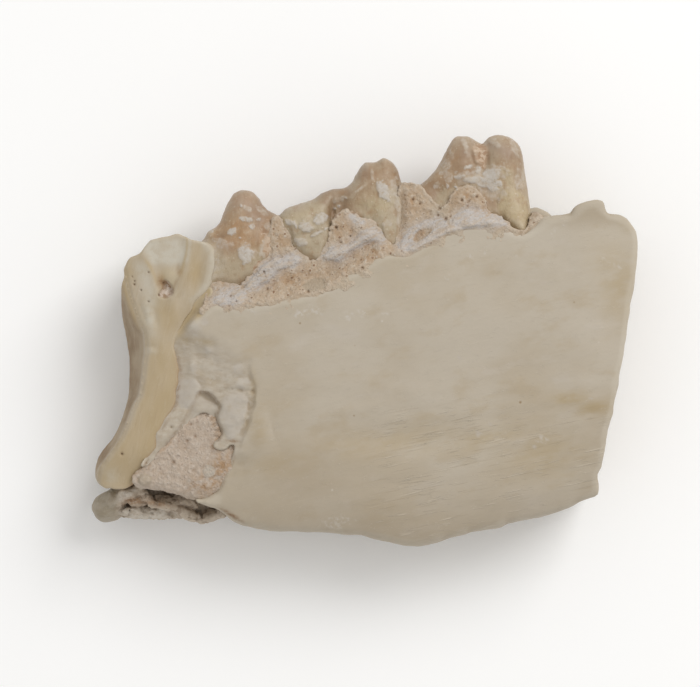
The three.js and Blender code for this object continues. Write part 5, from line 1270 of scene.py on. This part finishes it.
def crust_look():
    k = Look("crust_look", Specular_IOR_Level=0.25)
    lobe, pale, rust, dark, hollow = (k.mark(v) for v in ("lobe", "pale", "rust", "dark", "hollow"))
    near, cell = k.cells(0.5, 0, 5)
    own = k.own(cell)
    speck = k.noise(0.2, 4, 0.65, 0, 9)
    broad = k.noise(1.8, 3, 0.55, 0, 15)
    colour = k.blend(k.range(broad, 0.3, 0.7), srgb(186, 172, 155), srgb(204, 191, 174))
    colour = k.blend(k.mul(k.range(own, 0.75, 0.8), 0.8), colour, srgb(200, 187, 170))
    colour = k.blend(k.mul(k.range(own, 0.2, 0.16), 0.7), colour, srgb(150, 134, 118))
    colour = k.blend(k.mul(pale, k.range(k.noise(0.5, 3, 0.6, 0, 23), 0.3, 0.55, 0.5, 1.0)), colour, srgb(206, 197, 184))
    colour = k.blend(k.mul(rust, k.range(k.noise(0.4, 3, 0.6, 0, 27), 0.35, 0.6, 0.3, 1.0)), colour, srgb(168, 134, 104))
    smooth = k.blend(k.range(k.noise((2, 1, 1.5), 4, 0.55, 15, 33), 0.35, 0.65), srgb(160, 149, 130), srgb(174, 164, 148))
    colour = k.blend(lobe, colour, smooth)
    # painted shade in the band under the plug and the hole under the bone's lip
    colour = k.blend(k.mul(dark, 0.35), colour, srgb(136, 120, 107))
    # painted shade in hollows and a painted highlight on bumps, from the hollow mark
    colour = k.blend(k.range(hollow, 0.4, 1.4, 0.0, 0.3), colour, srgb(124, 107, 91))
    colour = k.blend(k.range(hollow, -0.3, -1.0, 0.0, 0.35), colour, srgb(172, 158, 140))
    colour = k.tint(colour, speck, 0.84, 1.16)
    rough = k.add(k.range(speck, 0.3, 0.7, 0.8, 0.95), k.mul(lobe, -0.25))
    k.bump(k.range(near, 0.55, 0.1), 0.12, 0.5)
    k.bump(speck, 0.10, 0.8)
    return k.done(colour, rough)


def floor_look():
    k = Look("floor_look", Specular_IOR_Level=0.1)
    haze = k.noise(60, 3, 0.5, 0, 3)
    tooth = k.noise(1.2, 3, 0.6, 0, 5)
    colour = k.blend(k.range(haze, 0.3, 0.7), (0.955, 0.955, 0.95), (0.965, 0.965, 0.96))
    k.bump(tooth, 0.02, 0.2)
    return k.done(colour, k.range(tooth, 0.3, 0.7, 0.85, 0.95))


for piece, look in ((bone, bone_look()), (stump, dentine_look()),
                    (crown_front, enamel_look("enamel_front", srgb(166, 134, 101), srgb(172, 155, 130), 3)),
                    (crown_middle, enamel_look("enamel_middle", srgb(160, 136, 109), srgb(173, 160, 137), 17)),
                    (crown_rear, enamel_look("enamel_rear", srgb(158, 131, 103), srgb(173, 155, 130), 29)),
                    (matrix, sediment_look("gum_sediment", 7, srgb(197, 182, 163), srgb(189, 171, 150), srgb(177, 153, 127), 0.6, srgb(192, 186, 181))),
                    (plug, sediment_look("plug_sediment", 41, srgb(199, 186, 172), srgb(191, 177, 162), srgb(181, 162, 143), 0.22, srgb(188, 178, 164))),
                    (crust, crust_look())):
    piece.data.materials.append(look)


# ------------------------------------------------------------------ stage, light, camera
floor_mesh = bpy.data.meshes.new("floor")
floor_mesh.from_pydata([(-3, -3, 0), (3, -3, 0), (3, 3, 0), (-3, 3, 0)], [], [(0, 1, 2, 3)])
floor = bpy.data.objects.new("floor", floor_mesh)
bpy.context.scene.collection.objects.link(floor)
floor.data.materials.append(floor_look())

world = bpy.data.worlds.new("studio")
world.use_nodes = True
world.node_tree.nodes["Background"].inputs[0].default_value = (1.0, 0.99, 0.975, 1)
world.node_tree.nodes["Background"].inputs[1].default_value = 0.70
bpy.context.scene.world = world


def area(name, where, size, power, color=(1, 1, 1)):
    data = bpy.data.lights.new(name, "AREA")
    data.energy, data.size, data.color = power, size, color
    ob = bpy.data.objects.new(name, data)
    ob.location = where
    ob.rotation_euler = Vector(-np.array(where, float)).to_track_quat("-Z", "Y").to_euler()
    bpy.context.scene.collection.objects.link(ob)
    return ob


area("key", (0.42, 0.46, 0.60), 0.5, 3.9)

cam_data = bpy.data.cameras.new("camera")
cam_data.lens = 200
cam_data.sensor_width = 36
cam_data.clip_start = 0.01
camera = bpy.data.objects.new("camera", cam_data)
camera.location = (-0.001624, -0.000232, 0.45911)
bpy.context.scene.collection.objects.link(camera)
bpy.context.scene.camera = camera
bpy.context.scene.view_settings.view_transform = "Standard"

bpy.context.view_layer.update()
